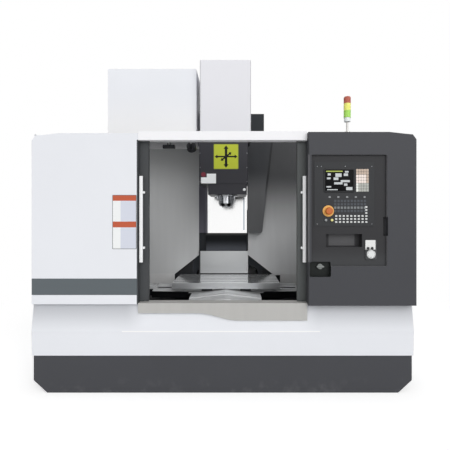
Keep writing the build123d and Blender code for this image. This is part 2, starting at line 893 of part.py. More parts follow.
def head_body_cover():
    low = head_bottom - sheet
    y = (body_front, body_back)
    upper = block((body_left, body_right), y, (body_step_z, head_roof))
    lower = block((throat_left, throat_right), y, (low, body_step_z))
    upper = fillet(upper.edges().filter_by(Axis.Z).group_by(Axis.Y)[0], 14)
    lower = fillet(lower.edges().filter_by(Axis.Z).group_by(Axis.Y)[0], 14)
    shell = upper + lower
    shell -= block((body_left + sheet, body_right - sheet), (body_front + sheet, body_back + 1),
                   (body_step_z + sheet, head_roof + 1))
    shell -= block((throat_left + sheet, throat_right - sheet), (body_front + sheet, body_back + 1),
                   (head_bottom, body_step_z + sheet + 1))
    shell -= rod_z(0, spindle_y, cartridge_radius + 4, (low - 1, low + sheet + 1))
    roof = block((body_left, cover_half_width), y, (head_roof, top_cover_low))
    half = spindle_motor_side / 2 + 1
    roof -= block((-half, half), (spindle_y - half, spindle_y + half), (head_roof - 1, top_cover_low + 1))
    return shell + roof


def head_top_cover():
    y = (body_front - 5, cover_back)
    cover = block((-cover_half_width, cover_half_width), y, (top_cover_low, top_cover_low + cover_height))
    cover = fillet(cover.edges().filter_by(Axis.Z), 12)
    cover = fillet(cover.edges().group_by(Axis.Z)[-1], 8)
    inner = cover_half_width - sheet
    return cover - block((-inner, inner), (y[0] + sheet, y[1] - sheet),
                         (top_cover_low - 1, top_cover_low + cover_height - sheet))


def spindle_cartridge():
    y = spindle_y
    body = rod_z(0, y, cartridge_radius, (flange_low, head_roof - 30))
    ring = rod_z(0, y, flange_radius, (flange_low, head_bottom - sheet))
    ring = chamfer(ring.edges().group_by(Axis.Z)[0], 10)
    nose_step = 30
    nose = rod_z(0, y, nose_radius, (nose_low + nose_step, flange_low))
    cone = Pos(0, y, nose_low + nose_step / 2) * Cone(nose_radius - 14, nose_radius, nose_step)
    cartridge = joined(body, ring, nose, cone)
    for turn in range(nozzle_count):
        angle = 2 * math.pi * (turn + 0.5) / nozzle_count
        x = nozzle_circle * math.cos(angle)
        place = y + nozzle_circle * math.sin(angle)
        step = flange_low - nozzle_body
        cartridge += rod_z(x, place, nozzle_radius, (step, flange_low))
        cartridge += rod_z(x, place, nozzle_tip_radius, (flange_low - nozzle_length, step))
    return cartridge - rod_z(0, y, shaft_radius + seat, (nose_low - 1, head_roof))


def spindle_shaft():
    y = spindle_y
    shaft = rod_z(0, y, shaft_radius, (shaft_low, head_roof - 20))
    taper_end = taper_mouth - taper_depth * taper_ratio
    shaft -= Pos(0, y, shaft_low + taper_depth / 2) * Cone(taper_mouth, taper_end, taper_depth)
    shaft -= rod_z(0, y, drawbar_radius + seat, (shaft_low + taper_depth - 1, head_roof))
    for side in (-1, 1):
        shaft += Pos(side * 34, y, shaft_low - 5) * Box(16, 16, 10)
    return shaft


def drawbar():
    y = spindle_y
    bar = rod_z(0, y, drawbar_radius, (shaft_low + taper_depth + 12, head_roof - 24))
    return bar - rod_z(0, y, 8, (shaft_low + taper_depth + 10, shaft_low + taper_depth + 52))


# Ball screws: plain bars with a turned-down journal at each end
def ball_screw(length, journal):
    body = Cylinder(screw_radius, length)
    for side in (-1, 1):
        body += Pos(0, 0, side * (length + journal) / 2) * Cylinder(screw_radius - 5, journal)
    return body


def x_ball_screw():
    return Pos(0, saddle_rest_y, x_screw_z) * Rot(0, 90, 0) * ball_screw(2 * x_screw_half, journal_length / 2)


def y_ball_screw():
    middle = sum(y_screw_ends) / 2
    return Pos(0, middle, y_screw_z) * Rot(90, 0, 0) * ball_screw(y_screw_ends[1] - y_screw_ends[0], 3)


def z_ball_screw():
    middle = sum(z_screw_ends) / 2
    return Pos(0, z_screw_y, middle) * ball_screw(z_screw_ends[1] - z_screw_ends[0], 3)


# Tool magazine: a sheet housing on two beams from the column, and a disc of tool pots
def magazine_housing():
    x = (magazine_left, magazine_right)
    y = (magazine_front, magazine_back)
    z = (magazine_low, magazine_high)
    box = block(x, y, z)
    box = fillet(box.edges().filter_by(Axis.Y), 10)
    box -= block((x[0] + sheet, x[1] - sheet), (y[0] + sheet, y[1] - magazine_back_plate),
                 (z[0] - 1, z[1] - sheet))
    box += rod_y(disc_x, disc_z, hub_radius, (y[0] + hub_front, y[1] - 1))
    plate_front = column_front - beam_plate_thick
    lowest = magazine_low + beam_rise
    for low in (lowest, lowest + beam_pitch):
        left = -column_half + 6
        box += block((left, left + beam_side + beam_foot), (y[1] - 1, plate_front), (low, low + beam_side))
    plate = block((-column_half, magazine_right + 10), (plate_front, column_front),
                  (lowest - 10, lowest + beam_pitch + beam_side + 10))
    return box + plate


def magazine_disc():
    front = magazine_front + disc_setback
    back = front + disc_thick
    mouth = back - pot_length
    disc = rod_y(disc_x, disc_z, pot_circle - disc_rim_in, (front, back))
    boss_back = magazine_back - magazine_back_plate - 2
    disc += rod_y(disc_x, disc_z, hub_radius + hub_boss, (front - 20, boss_back))
    for pot in range(pot_count):
        angle = 2 * math.pi * pot / pot_count
        x = disc_x + pot_circle * math.cos(angle)
        z = disc_z + pot_circle * math.sin(angle)
        disc += rod_y(x, z, pot_radius, (mouth, back))
        disc -= rod_y(x, z, taper_mouth, (mouth - 1, mouth + taper_depth))
    for hole in range(disc_hole_count):
        angle = 2 * math.pi * (hole + 0.5) / disc_hole_count
        x = disc_x + disc_hole_circle * math.cos(angle)
        z = disc_z + disc_hole_circle * math.sin(angle)
        disc -= rod_y(x, z, disc_hole_radius, (front - 1, back + 1))
    return disc - rod_y(disc_x, disc_z, hub_radius + seat, (magazine_front, magazine_back))


# Operator panel: one plate with raised keys, the stop button's ring and a seat for the screen
def operator_panel():
    y = (inset_y - panel_thick, inset_y)
    plate = block((panel_left, panel_right), y, (panel_low, panel_high))
    plate -= block((screen_left, screen_right), (y[0] - 1, y[0] + screen_sink), (screen_low, screen_high))
    plate += rod_y(stop_x, stop_z, stop_ring, (y[0] - 3, y[0]))
    half = key_side / 2
    keys = [(key_x + column * key_pitch_x, key_z - row * key_pitch_z)
            for row in range(3) for column in range(key_columns)]
    keys += [(key_x + (key_columns - 1) * key_pitch_x, key_z + row * key_pitch_z) for row in range(1, 4)]
    soft_pitch = (screen_right + 130 - screen_left) / 5
    keys += [(screen_left + soft_pitch * (key + 0.5), screen_low - 50) for key in range(5)]
    for x, z in keys:
        plate += block((x - half, x + half), (y[0] - 2, y[0]), (z - half * 0.8, z + half * 0.8))
    plate -= rod_y(stop_x, stop_z, 11 + seat, (y[0] - 4, y[1] + 1))
    for x in push_x:
        plate -= rod_y(x, push_z, 7 + seat, (y[0] - 1, y[1] + 1))
    return plate


def display_screen():
    y = (inset_y - panel_thick - 1, inset_y - panel_thick + screen_sink)
    return block((screen_left + 1, screen_right - 1), y, (screen_low + 1, screen_high - 1))


def e_stop_button():
    cap_back = inset_y - panel_thick - 3 - stop_travel - 6
    cap = rod_y(stop_x, stop_z, stop_radius, (stop_front, cap_back))
    cap = fillet(cap.edges().group_by(Axis.Y)[0], 9)
    return cap + rod_y(stop_x, stop_z, 11, (cap_back, inset_y + 4))


def push_button(x):
    front = inset_y - panel_thick
    cap = rod_y(x, push_z, push_radius, (front - push_travel - 9, front - push_travel - 1))
    cap = chamfer(cap.edges().group_by(Axis.Y)[0], 1.5)
    return cap + rod_y(x, push_z, 7, (front - push_travel - 1, inset_y + 4))


# Handwheel unit: a plate with a hand dial under two selector knobs
def handwheel_unit():
    y = (inset_y - unit_thick, inset_y)
    plate = block((unit_left, unit_right), y, (unit_low, unit_high))
    plate = fillet(plate.edges().filter_by(Axis.Y), 8)
    for x, z in [(dial_x, dial_z), (knob_x[0], knob_z), (knob_x[1], knob_z)]:
        plate -= rod_y(x, z, 5 + seat, (y[0] - 1, y[1] + 1))
    return plate


def handwheel_dial():
    front = inset_y - unit_thick - seat
    dial = rod_y(dial_x, dial_z, dial_radius, (front - 9, front))
    dial = chamfer(dial.edges().group_by(Axis.Y)[0], 2)
    grip = rod_y(dial_x, dial_z - dial_radius + 11, 6, (front - 27, front - 8))
    return joined(dial, grip, rod_y(dial_x, dial_z, 5, (front - 1, inset_y)))


def selector_knob(x):
    front = inset_y - unit_thick - seat
    knob = rod_y(x, knob_z, knob_radius, (front - 10, front))
    reach = knob_radius - 1
    wing = block((x - 3, x + 3), (front - 16, front - 9), (knob_z - reach, knob_z + reach))
    return joined(knob, wing, rod_y(x, knob_z, 5, (front - 1, inset_y)))


def mode_knob():
    floor = housing_y + recess_depth - seat
    knob = rod_y(mode_x, mode_z, mode_radius, (floor - 14, floor))
    reach = mode_radius + 8
    bar = block((mode_x - reach, mode_x + reach), (floor - 26, floor - 13), (mode_z - 6, mode_z + 6))
    return knob + bar


# Signal tower: a pole and collar, with three stacked lenses
def signal_tower_base():
    y = housing_y + front_depth
    foot = rod_z(tower_x, y, 26, (panel_top, panel_top + 8))
    pole = rod_z(tower_x, y, 9, (panel_top, pole_top + 1))
    return joined(foot, pole, rod_z(tower_x, y, tower_radius - 3, (pole_top, collar_top)))


def signal_lenses():
    lenses = []
    for stage in range(3):
        low = collar_top + stage * lens_height + (seat if stage else 0)
        high = collar_top + (stage + 1) * lens_height
        lens = rod_z(tower_x, housing_y + front_depth, tower_radius, (low, high))
        if stage == 2:
            lens = fillet(lens.edges().group_by(Axis.Z)[-1], 12)
        lenses.append(lens.solid())
    return Compound(children=lenses)


# Work lamps: a bar lamp and a round lamp, each tilting on a pin
def lamp_with_ears(head, x, low):
    """A lamp head on two ears that reach from the pin down to a height inside the head."""
    for side in (-1, 1):
        near = x + side * (lug_thick / 2 + 2)
        edges = sorted((near, near + side * 6))
        ear = block(edges, (lamp_y - 12, lamp_y + 12), (low, lamp_pin_z + 12))
        ear -= rod_x(lamp_y, lamp_pin_z, lamp_pin_radius + seat, (edges[0] - 1, edges[1] + 1))
        head += ear
    return head


def left_work_lamp():
    x = lamp_x[0]
    top = lamp_pin_z - bar_lamp_drop
    bar_x = (x - bar_lamp_half, x + bar_lamp_half)
    bar = block(bar_x, (lamp_y - 20, lamp_y + 20), (top - bar_lamp_height, top))
    return lamp_with_ears(fillet(bar.edges().filter_by(Axis.X), 8), x, top - 10)


def right_work_lamp():
    x = lamp_x[1]
    z = lamp_pin_z - round_lamp_drop
    head = Cylinder(round_lamp_radius, round_lamp_depth)
    head = Pos(x, lamp_y + round_lamp_back, z) * Rot(round_lamp_tilt, 0, 0) * head
    return lamp_with_ears(head, x, z - 30)


# Doors: a folded pan with a stiff leading stile and a window, hung on the top rail
def left_door_frame():
    x = (-door_open_edge - door_width, -door_open_edge)
    y = (door_y, door_back)
    pan = block(x, y, (door_bottom, door_top))
    pan -= block((x[0] + sheet, x[1] - stile_width), (y[0] + sheet, y[1] + 1),
                 (door_bottom + sheet, door_top - sheet))
    hole = block((x[0] + window_margin, x[1] - stile_width - window_margin / 2), (y[0] - 1, y[0] + sheet + 1),
                 (window_bottom, window_top))
    pan -= fillet(hole.edges().filter_by(Axis.Y), 40)
    for place in (x[0] + 40, x[1] - 160):
        pan += block((place, place + 120), (y[1] - sheet, y[1] + 5 - seat), (door_rail_bottom - 10, door_top))
        pan += block((place, place + 120), (y[0] + 5, y[1] - 5), (sill_top + seat, door_bottom))
    return pan


def left_door_window():
    x = (-door_open_edge - door_width, -door_open_edge)
    rim = 22
    pane = block((x[0] + window_margin - rim, x[1] - stile_width - window_margin / 2 + rim),
                 (door_y + sheet, door_y + sheet + glass), (window_bottom - rim, window_top + rim))
    return fillet(pane.edges().filter_by(Axis.Y), 40)


def left_door_handle():
    x = (-handle_outer, -handle_outer + handle_width)
    front = door_y - handle_reach - handle_bar
    bar = block(x, (front, front + handle_bar), (handle_low, handle_high))
    bar = fillet(bar.edges().filter_by(Axis.Z), 6)
    middle = sum(x) / 2
    for z in (post_low, post_high):
        bar += block((middle - post_side / 2, middle + post_side / 2), (front + handle_bar - 1, door_y),
                     (z - post_side / 2, z + post_side / 2))
    return bar


# Electrical cabinet: a steel box behind the column, with drives on its back plate and a hinged door
def electrical_cabinet():
    front = column_back + cabinet_gap
    back = rear_y - cabinet_door_thick - seat
    x = (-cabinet_half, cabinet_half)
    box = block(x, (front, back), (cabinet_low, cabinet_high))
    box -= block((x[0] + sheet, x[1] - sheet), (front + sheet, back + 1),
                 (cabinet_low + sheet, cabinet_high - sheet))
    for row, (count, height) in enumerate(drive_rows):
        z = cabinet_high - (row + 1) * drive_row_pitch
        pitch = 2 * (cabinet_half - drive_inset) / count
        for item in range(count):
            left = -cabinet_half + drive_inset + item * pitch
            drive_y = (front + sheet - 1, front + drive_depth)
            box += block((left, left + pitch * 0.8), drive_y, (z, z + height))
    bracket_half = column_half - bracket_inset
    for z in (column_foot_top - 60, cabinet_high - bracket_height):
        box += block((-bracket_half, bracket_half), (column_back, front + 1), (z, z + bracket_height))
    for z in hinge_places:
        for end in (-1, 1):
            middle = z + end * (hinge_length / 2 + 10)
            reach = (middle - 10 + seat, middle + 10 - seat)
            ear = rod_z(hinge_x, hinge_y, hinge_barrel, reach)
            ear += block((hinge_x, -cabinet_half + sheet), (back - 22, back), reach)
            ear += block((hinge_x - 5, hinge_x + 5), (back - 22, hinge_y), reach)
            box += ear
        box += rod_z(hinge_x, hinge_y, hinge_pin, (z - hinge_length / 2 - 12, z + hinge_length / 2 + 12))
    return box


def cabinet_door():
    front = rear_y - cabinet_door_thick
    x = (-cabinet_half, cabinet_half)
    door = block(x, (front, rear_y), (cabinet_low, cabinet_high))
    door -= block((x[0] + sheet, x[1] - sheet), (front - 1, rear_y - sheet),
                  (cabinet_low + sheet, cabinet_high - sheet))
    for z in hinge_places:
        reach = (z - hinge_length / 2, z + hinge_length / 2)
        barrel = rod_z(hinge_x, hinge_y, hinge_barrel, reach)
        barrel += block((hinge_x, x[0] + 1), (hinge_y - 3, hinge_y + 3), reach)
        door += barrel - rod_z(hinge_x, hinge_y, hinge_pin + seat, (z - hinge_length, z + hinge_length))
    return door


save(levelling_feet(), "levelling_feet")
save(machine_bed(), "machine_bed")
save(column(), "column")
save(base_tray(), "base_tray")
save(lower_front_panel(), "lower_front_panel")
save(door_sill(), "door_sill")
save(left_front_panel(), "left_front_panel")
save(control_housing(), "control_housing")
save(top_beam(), "top_beam")
save(right_side_panel(), "right_side_panel")
save(mirrored(right_side_panel()), "left_side_panel")
save(splash_panel(bay_right, notch_right), "right_splash_panel")
save(mirrored(splash_panel(-bay_left, -notch_left)), "left_splash_panel")
save(chip_pan(), "chip_pan")
save(column_apron(), "column_apron")
save(hose_guard(), "hose_guard")
save(saddle(), "saddle")
save(table(), "table")
save(front_way_cover_1(), "front_way_cover_1")
save(way_cover(2, front_cover_y(1), True), "front_way_cover_2")
save(way_cover(1, front_cover_y(2), True), "front_way_cover_3")
save(saddle_way_covers(), "saddle_way_covers")
save(rear_way_cover_1(), "rear_way_cover_1")
save(way_cover(1, rear_cover_y(1), False), "rear_way_cover_2")
save(column_way_cover(2, z_cover_low - 2 * z_cover_pitch, column_front, False), "column_way_cover_1")
save(column_way_cover(1, z_cover_low - z_cover_pitch, z_cover_back, True), "column_way_cover_2")
save(column_way_cover(0, z_cover_low, z_cover_back, True), "column_way_cover_3")
save(head_casting(), "head_casting")
save(head_body_cover(), "head_body_cover")
save(head_top_cover(), "head_top_cover")
save(spindle_cartridge(), "spindle_cartridge")
save(spindle_shaft(), "spindle_shaft")
save(drawbar(), "drawbar")
save(x_ball_screw(), "x_ball_screw")
save(y_ball_screw(), "y_ball_screw")
save(z_ball_screw(), "z_ball_screw")
save(magazine_housing(), "magazine_housing")
save(magazine_disc(), "magazine_disc")
save(operator_panel(), "operator_panel")
save(display_screen(), "display_screen")
save(e_stop_button(), "e_stop_button")
save(push_button(push_x[0]), "cycle_start_button")
save(push_button(push_x[1]), "feed_hold_button")
save(handwheel_unit(), "handwheel_unit")
save(handwheel_dial(), "handwheel_dial")
save(selector_knob(knob_x[0]), "axis_knob")
save(selector_knob(knob_x[1]), "rate_knob")
save(mode_knob(), "mode_knob")
save(signal_tower_base(), "signal_tower_base")
save(signal_lenses(), "signal_lenses")
save(left_work_lamp(), "left_work_lamp")
save(right_work_lamp(), "right_work_lamp")
save(left_door_frame(), "left_door_frame")
save(left_door_window(), "left_door_window")
save(left_door_handle(), "left_door_handle")
save(mirrored(left_door_frame()), "right_door_frame")
save(mirrored(left_door_window()), "right_door_window")
save(mirrored(left_door_handle()), "right_door_handle")
save(electrical_cabinet(), "electrical_cabinet")
save(cabinet_door(), "cabinet_door")
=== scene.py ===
"""A vertical machining centre with its doors slid open, seen from where its operator stands."""
import math

import bmesh
import bpy
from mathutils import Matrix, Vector


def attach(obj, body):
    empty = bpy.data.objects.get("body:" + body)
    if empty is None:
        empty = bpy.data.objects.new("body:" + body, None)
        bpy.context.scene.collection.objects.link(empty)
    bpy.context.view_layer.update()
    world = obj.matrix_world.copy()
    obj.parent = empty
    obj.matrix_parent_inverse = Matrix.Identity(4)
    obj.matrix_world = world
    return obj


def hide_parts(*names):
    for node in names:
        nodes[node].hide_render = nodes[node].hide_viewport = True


for spare in ("Cube", "Light", "Camera"):
    if spare in bpy.data.objects:
        bpy.data.objects.remove(bpy.data.objects[spare])
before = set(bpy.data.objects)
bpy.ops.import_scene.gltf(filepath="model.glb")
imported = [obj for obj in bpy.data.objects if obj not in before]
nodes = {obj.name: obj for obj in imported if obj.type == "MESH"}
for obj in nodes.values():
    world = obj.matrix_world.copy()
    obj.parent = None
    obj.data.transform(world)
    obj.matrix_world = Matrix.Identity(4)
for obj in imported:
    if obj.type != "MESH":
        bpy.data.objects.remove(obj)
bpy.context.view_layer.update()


# The room: a white studio floor under plain soft light, and a camera at standing height.
# The floor keeps the machine's shadow and fades into the white surroundings further out.
class Value:
    """A number or colour that runs through a material, with Python's own operators."""

    def __init__(self, graph, socket):
        self.graph = graph
        self.socket = socket

    def maths(self, operation, *others):
        return self.graph.node("ShaderNodeMath", {"operation": operation}, [self, *others])

    def __add__(self, other):
        return self.maths("ADD", other)

    def __sub__(self, other):
        return self.maths("SUBTRACT", other)

    def __rsub__(self, other):
        return self.graph.node("ShaderNodeMath", {"operation": "SUBTRACT"}, [other, self])

    def __mul__(self, other):
        return self.maths("MULTIPLY", other)

    def __truediv__(self, other):
        return self.maths("DIVIDE", other)

    def __gt__(self, other):
        return self.maths("GREATER_THAN", other)

    def __lt__(self, other):
        return self.maths("LESS_THAN", other)

    __radd__ = __add__
    __rmul__ = __mul__


class Graph:
    """A node tree that is written as plain expressions."""

    def __init__(self, tree):
        self.tree = tree
        tree.nodes.clear()

    def feed(self, item, inputs):
        pairs = inputs.items() if isinstance(inputs, dict) else enumerate(inputs)
        for key, value in pairs:
            socket = item.inputs[key]
            if isinstance(value, Value):
                self.tree.links.new(value.socket, socket)
            elif socket.type == "RGBA" and len(value) == 3:
                socket.default_value = (*value, 1)
            else:
                socket.default_value = value

    def node(self, kind, settings=None, inputs=(), output=0):
        item = self.tree.nodes.new(kind)
        for name, value in (settings or {}).items():
            setattr(item, name, value)
        self.feed(item, inputs)
        return Value(self, item.outputs[output]) if item.outputs else item

    def mix(self, factor, first, second):
        inputs = {0: factor, 6: first, 7: second}
        return self.node("ShaderNodeMix", {"data_type": "RGBA"}, inputs, output=2)

    def smooth(self, value, start, end):
        """0 before start, 1 after end, with a soft step between them."""
        settings = {"interpolation_type": "SMOOTHSTEP"}
        return self.node("ShaderNodeMapRange", settings, [value, start, end, 0.0, 1.0])

    def seen(self):
        """1 where a ray shows the surroundings: straight on, in a gloss or through glass."""
        kinds = ("Is Camera Ray", "Is Glossy Ray", "Is Transmission Ray")
        rays = [self.node("ShaderNodeLightPath", output=kind) for kind in kinds]
        return rays[0].maths("MAXIMUM", rays[1]).maths("MAXIMUM", rays[2])


def srgb(*parts):
    """A colour as a paint chart gives it, from 0 to 255, as levels of light."""
    levels = [part / 255 for part in parts]
    return tuple(level / 12.92 if level <= 0.04045 else ((level + 0.055) / 1.055) ** 2.4
                 for level in levels)


soft_light = 0.34
front_light = 0.58
surroundings = bpy.data.worlds.new("surroundings")
surroundings.use_nodes = True
bpy.context.scene.world = surroundings
room = Graph(surroundings.node_tree)
toward = room.node("ShaderNodeTexCoord", output="Generated")
toward_back = room.node("ShaderNodeSeparateXYZ", inputs=[toward], output="Y")
light = (0 - toward_back).maths("MAXIMUM", 0.0) * front_light + soft_light
seen = room.seen()
backdrop = {"Color": (1.0, 1.0, 1.0), "Strength": seen + (1 - seen) * light}
sky = room.node("ShaderNodeBackground", inputs=backdrop)
room.node("ShaderNodeOutputWorld", inputs=[sky])

sun_rise, sun_right = math.radians(26), math.radians(24)
sun = bpy.data.lights.new("window_light", "SUN")
sun.energy = 1.1
sun.angle = math.radians(45)
window = bpy.data.objects.new("window_light", sun)
to_sun = Vector((math.cos(sun_rise) * math.sin(sun_right),
                 -math.cos(sun_rise) * math.cos(sun_right),
                 math.sin(sun_rise)))
window.rotation_euler = to_sun.to_track_quat("Z", "Y").to_euler()
bpy.context.scene.collection.objects.link(window)

floor_half = 14.0
floor_fade = (2.1, 4.2)
floor_lift = 0.48
floor_mesh = bpy.data.meshes.new("studio_floor")
floor_corners = [(-floor_half, -floor_half, 0), (floor_half, -floor_half, 0),
                 (floor_half, floor_half, 0), (-floor_half, floor_half, 0)]
floor_mesh.from_pydata(floor_corners, [], [(0, 1, 2, 3)])
floor = bpy.data.objects.new("studio_floor", floor_mesh)
bpy.context.scene.collection.objects.link(floor)
paper = bpy.data.materials.new("studio_paper")
paper.use_nodes = True
ground = Graph(paper.node_tree)
floor_place = ground.node("ShaderNodeTexCoord", output="Object")
away = ground.node("ShaderNodeVectorMath", {"operation": "LENGTH"}, [floor_place], output="Value")
camera_ray = ground.node("ShaderNodeLightPath", output="Is Camera Ray")
matte = ground.node("ShaderNodeBsdfDiffuse", inputs=[srgb(244, 244, 244)])
lift = ground.node("ShaderNodeEmission", inputs=[(1.0, 1.0, 1.0), camera_ray * floor_lift])
near_floor = ground.node("ShaderNodeAddShader", inputs=[matte, lift])
far_floor = ground.node("ShaderNodeEmission", inputs=[(1.0, 1.0, 1.0), 1.0])
fade = ground.smooth(away, *floor_fade) * ground.seen()
surface = ground.node("ShaderNodeMixShader", inputs=[fade, near_floor, far_floor])
ground.node("ShaderNodeOutputMaterial", inputs=[surface])
floor_mesh.materials.append(paper)

lens = bpy.data.cameras.new("camera")
lens.lens = 28.48
lens.shift_x = -0.0253
lens.shift_y = -0.0222
camera = bpy.data.objects.new("camera", lens)
camera.location = (0.1157, -4.170, 1.509)
camera.rotation_euler = (math.radians(90), 0, 0)
bpy.context.scene.collection.objects.link(camera)
bpy.context.scene.camera = camera
bpy.context.scene.view_settings.view_transform = "Standard"


# Levelling feet: turned steel pads with a threaded stud and a lock nut, zinc plated.
# Six carry the bed, and plain pads carry the coolant tank beside it.
class Finish(Graph):
    """One material, whose colour, roughness and relief are built up in layers."""

    def __init__(self, name, colour=None, rough=None, metal=0.0, **fixed):
        self.material = bpy.data.materials.new(name)
        self.material.use_nodes = True
        super().__init__(self.material.node_tree)
        self.surface = self.tree.nodes.new("ShaderNodeBsdfPrincipled")
        self.place = self.node("ShaderNodeTexCoord", output="Object")
        self.x, self.y, self.z = (self.node("ShaderNodeSeparateXYZ", inputs=[self.place], output=axis)
                                  for axis in range(3))
        self.colour, self.rough, self.metal = colour, rough, metal
        self.feed(self.surface, {name.replace("_", " ").title().replace("Ior", "IOR"): value
                                 for name, value in fixed.items()})

    def inside(self, x=None, y=None, z=None):
        """1 between the given places on each axis, 0 elsewhere."""
        mask = None
        for value, reach in ((self.x, x), (self.y, y), (self.z, z)):
            if reach:
                span = (value > reach[0]) * (value < reach[1])
                mask = span if mask is None else mask * span
        return mask

    def across(self, half_low, half_high):
        """1 between two distances from the middle of the machine, on both sides."""
        side = self.x.maths("ABSOLUTE")
        return (side > half_low) * (side < half_high)

    def disc(self, x, z, radius):
        """1 inside a circle that faces the front."""
        over = (self.x - x) * (self.x - x) + (self.z - z) * (self.z - z)
        return over < radius * radius

    def noise(self, scale, detail=2.0, stretch=(1.0, 1.0, 1.0)):
        place = self.node("ShaderNodeVectorMath", {"operation": "MULTIPLY"}, [self.place, stretch])
        inputs = {"Vector": place, "Scale": scale, "Detail": detail}
        return self.node("ShaderNodeTexNoise", inputs=inputs)

    def softened(self, radius):
        """The direction that the surface faces, turned smoothly over its corners."""
        return self.node("ShaderNodeBevel", {"samples": 4}, {"Radius": radius})

    def edges(self, radius):
        """1 along the corners of the metal, 0 on its open faces."""
        open_face, corner = 0.995, 0.9
        directions = [self.softened(radius), self.node("ShaderNodeNewGeometry", output="Normal")]
        settings = {"operation": "DOT_PRODUCT"}
        level = self.node("ShaderNodeVectorMath", settings, directions, output="Value")
        return self.smooth(level, open_face, corner)

    def paint(self, mask, colour, rough=None, metal=None):
        self.colour = self.mix(mask, self.colour, colour)
        if rough is not None:
            self.rough = mask * rough + (1 - mask) * self.rough
        if metal is not None:
            self.metal = mask * metal + (1 - mask) * self.metal

    def relief(self, height, depth, rim):
        bump = {"Height": height, "Distance": depth, "Strength": 1.0, "Normal": self.softened(rim)}
        self.feed(self.surface, {"Normal": self.node("ShaderNodeBump", inputs=bump)})

    def done(self):
        inputs = {"Base Color": self.colour, "Roughness": self.rough, "Metallic": self.metal}
        self.feed(self.surface, inputs)
        surface = Value(self, self.surface.outputs[0])
        self.node("ShaderNodeOutputMaterial", inputs=[surface])
        return self.material


def shade(colour, factor, added=0.0):
    """The same colour, made darker or lighter."""
    return tuple(min(1.0, part * factor + added) for part in colour)


def turned_steel(name, colour, rough):
    """Machined steel: fine tool marks, faint stains, and a painted highlight along its corners."""
    steel = Finish(name, metal=1.0)
    stain = steel.noise(9.0, 4.0)
    steel.colour = steel.mix(stain * 0.35, colour, shade(colour, 0.8))
    steel.rough = stain * 0.16 + (rough - 0.08)
    # The corners are painted lighter, as a painted highlight.
    steel.paint(steel.edges(0.0015) * 0.5, srgb(232, 234, 236))
    steel.relief(steel.noise(700.0, stretch=(1.0, 1.0, 0.2)), depth=0.00004, rim=0.0008)
    return steel.done()


def dress(material, *names):
    """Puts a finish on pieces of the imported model, in the slots that they have."""
    for name in names:
        for slot in nodes[name].material_slots:
            slot.material = material


dress(turned_steel("zinc_plate", srgb(176, 178, 180), 0.38), "levelling_feet")


# Castings: the bed, column, saddle and head are grey iron, painted dark over a filled sand skin.
# Guide rails, carriages and motors are bolted on. The rails stay ground and bare, the motors are black.
def painted_casting(name):
    iron = Finish(name, specular_ior_level=0.15)
    cloud = iron.noise(3.0, 3.0)
    iron.colour = iron.mix(cloud, srgb(46, 49, 53), srgb(57, 60, 65))
    iron.rough = cloud * 0.2 + 0.4
    return iron


def ground_rails(iron, mask):
    iron.paint(mask, srgb(196, 199, 203), rough=0.2, metal=1.0)


def motor_black(iron, mask):
    iron.paint(mask, srgb(34, 35, 38), rough=0.42)


def sand_skin(iron):
    iron.relief(iron.noise(160.0, 4.0), depth=0.0004, rim=0.004)
    return iron.done()


y_rails, y_rails_low = (0.277, 0.323), 0.5205
y_motor_half, y_motor_y, y_motor_z = 0.066, (-1.045, -0.822), (0.43, 0.57)
bed_paint = painted_casting("bed_casting")
ground_rails(bed_paint, bed_paint.across(*y_rails) * (bed_paint.z > y_rails_low))
motor_black(bed_paint, bed_paint.across(0, y_motor_half) * bed_paint.inside(y=y_motor_y, z=y_motor_z))
dress(sand_skin(bed_paint), "machine_bed")

painted_light_grey, painted_light_x, painted_light_z = srgb(116, 114, 126), (-0.42, -0.2), (1.278, 2.2)
z_rails, z_rails_y = (0.157, 0.203), (0.43, 0.4795)
z_motor_half, z_motor_low = 0.07, 2.8295
column_paint = painted_casting("column_casting")
# A strip of the column's front beside the covers is painted a lighter violet grey, as painted light.
column_paint.paint(column_paint.inside(x=painted_light_x, z=painted_light_z), painted_light_grey)
ground_rails(column_paint, column_paint.across(*z_rails) * column_paint.inside(y=z_rails_y))
motor_black(column_paint, column_paint.across(0, z_motor_half) * (column_paint.z > z_motor_low))
dress(sand_skin(column_paint), "column")

saddle_top, carriages, carriages_high, x_motor_right = 0.6395, (0.2, 0.4), 0.5655, -0.8505
saddle_paint = painted_casting("saddle_casting")
# Everything of the saddle below its top is painted near black, as painted shade.
under_top = 1 - (saddle_paint.z > saddle_top)
saddle_paint.paint(under_top, srgb(12, 13, 15))
ground_rails(saddle_paint, (saddle_paint.z < carriages_high) * saddle_paint.across(*carriages))
motor_black(saddle_paint, saddle_paint.x < x_motor_right)
saddle_paint.paint(1 - under_top, srgb(206, 207, 208), rough=0.5, metal=0.0)
dress(sand_skin(saddle_paint), "saddle")

head_carriages, head_carriages_front = (0.12, 0.24), 0.4205
motor_half, motor_low = 0.126, 2.3305
head_paint = painted_casting("head_casting")
ground_rails(head_paint, head_paint.across(*head_carriages) * (head_paint.y > head_carriages_front))
motor_black(head_paint, head_paint.across(0, motor_half) * (head_paint.z > motor_low))
dress(sand_skin(head_paint), "head_casting")


# Ball screws and drawbar: hardened steel, whirled and ground. The thread is a row of fine grooves.
# Each screw turns in two bearing blocks, and the drawbar runs down the middle of the spindle.
def threaded_steel(name, along):
    lead = 0.016
    steel = Finish(name, srgb(188, 191, 196), 0.22, metal=1.0)
    turn = (getattr(steel, along) / lead).maths("FRACT")
    groove = steel.smooth(turn.maths("PINGPONG", 0.5), 0.1, 0.35)
    # The grooves are painted darker, as painted shade.
    steel.paint(groove, srgb(122, 125, 130), rough=0.3)
    steel.relief(1 - groove, depth=0.002, rim=0.001)
    return steel.done()


for along in "xyz":
    dress(threaded_steel(f"{along}_thread", along), f"{along}_ball_screw")
dress(turned_steel("drawbar_steel", srgb(170, 173, 178), 0.28), "drawbar")


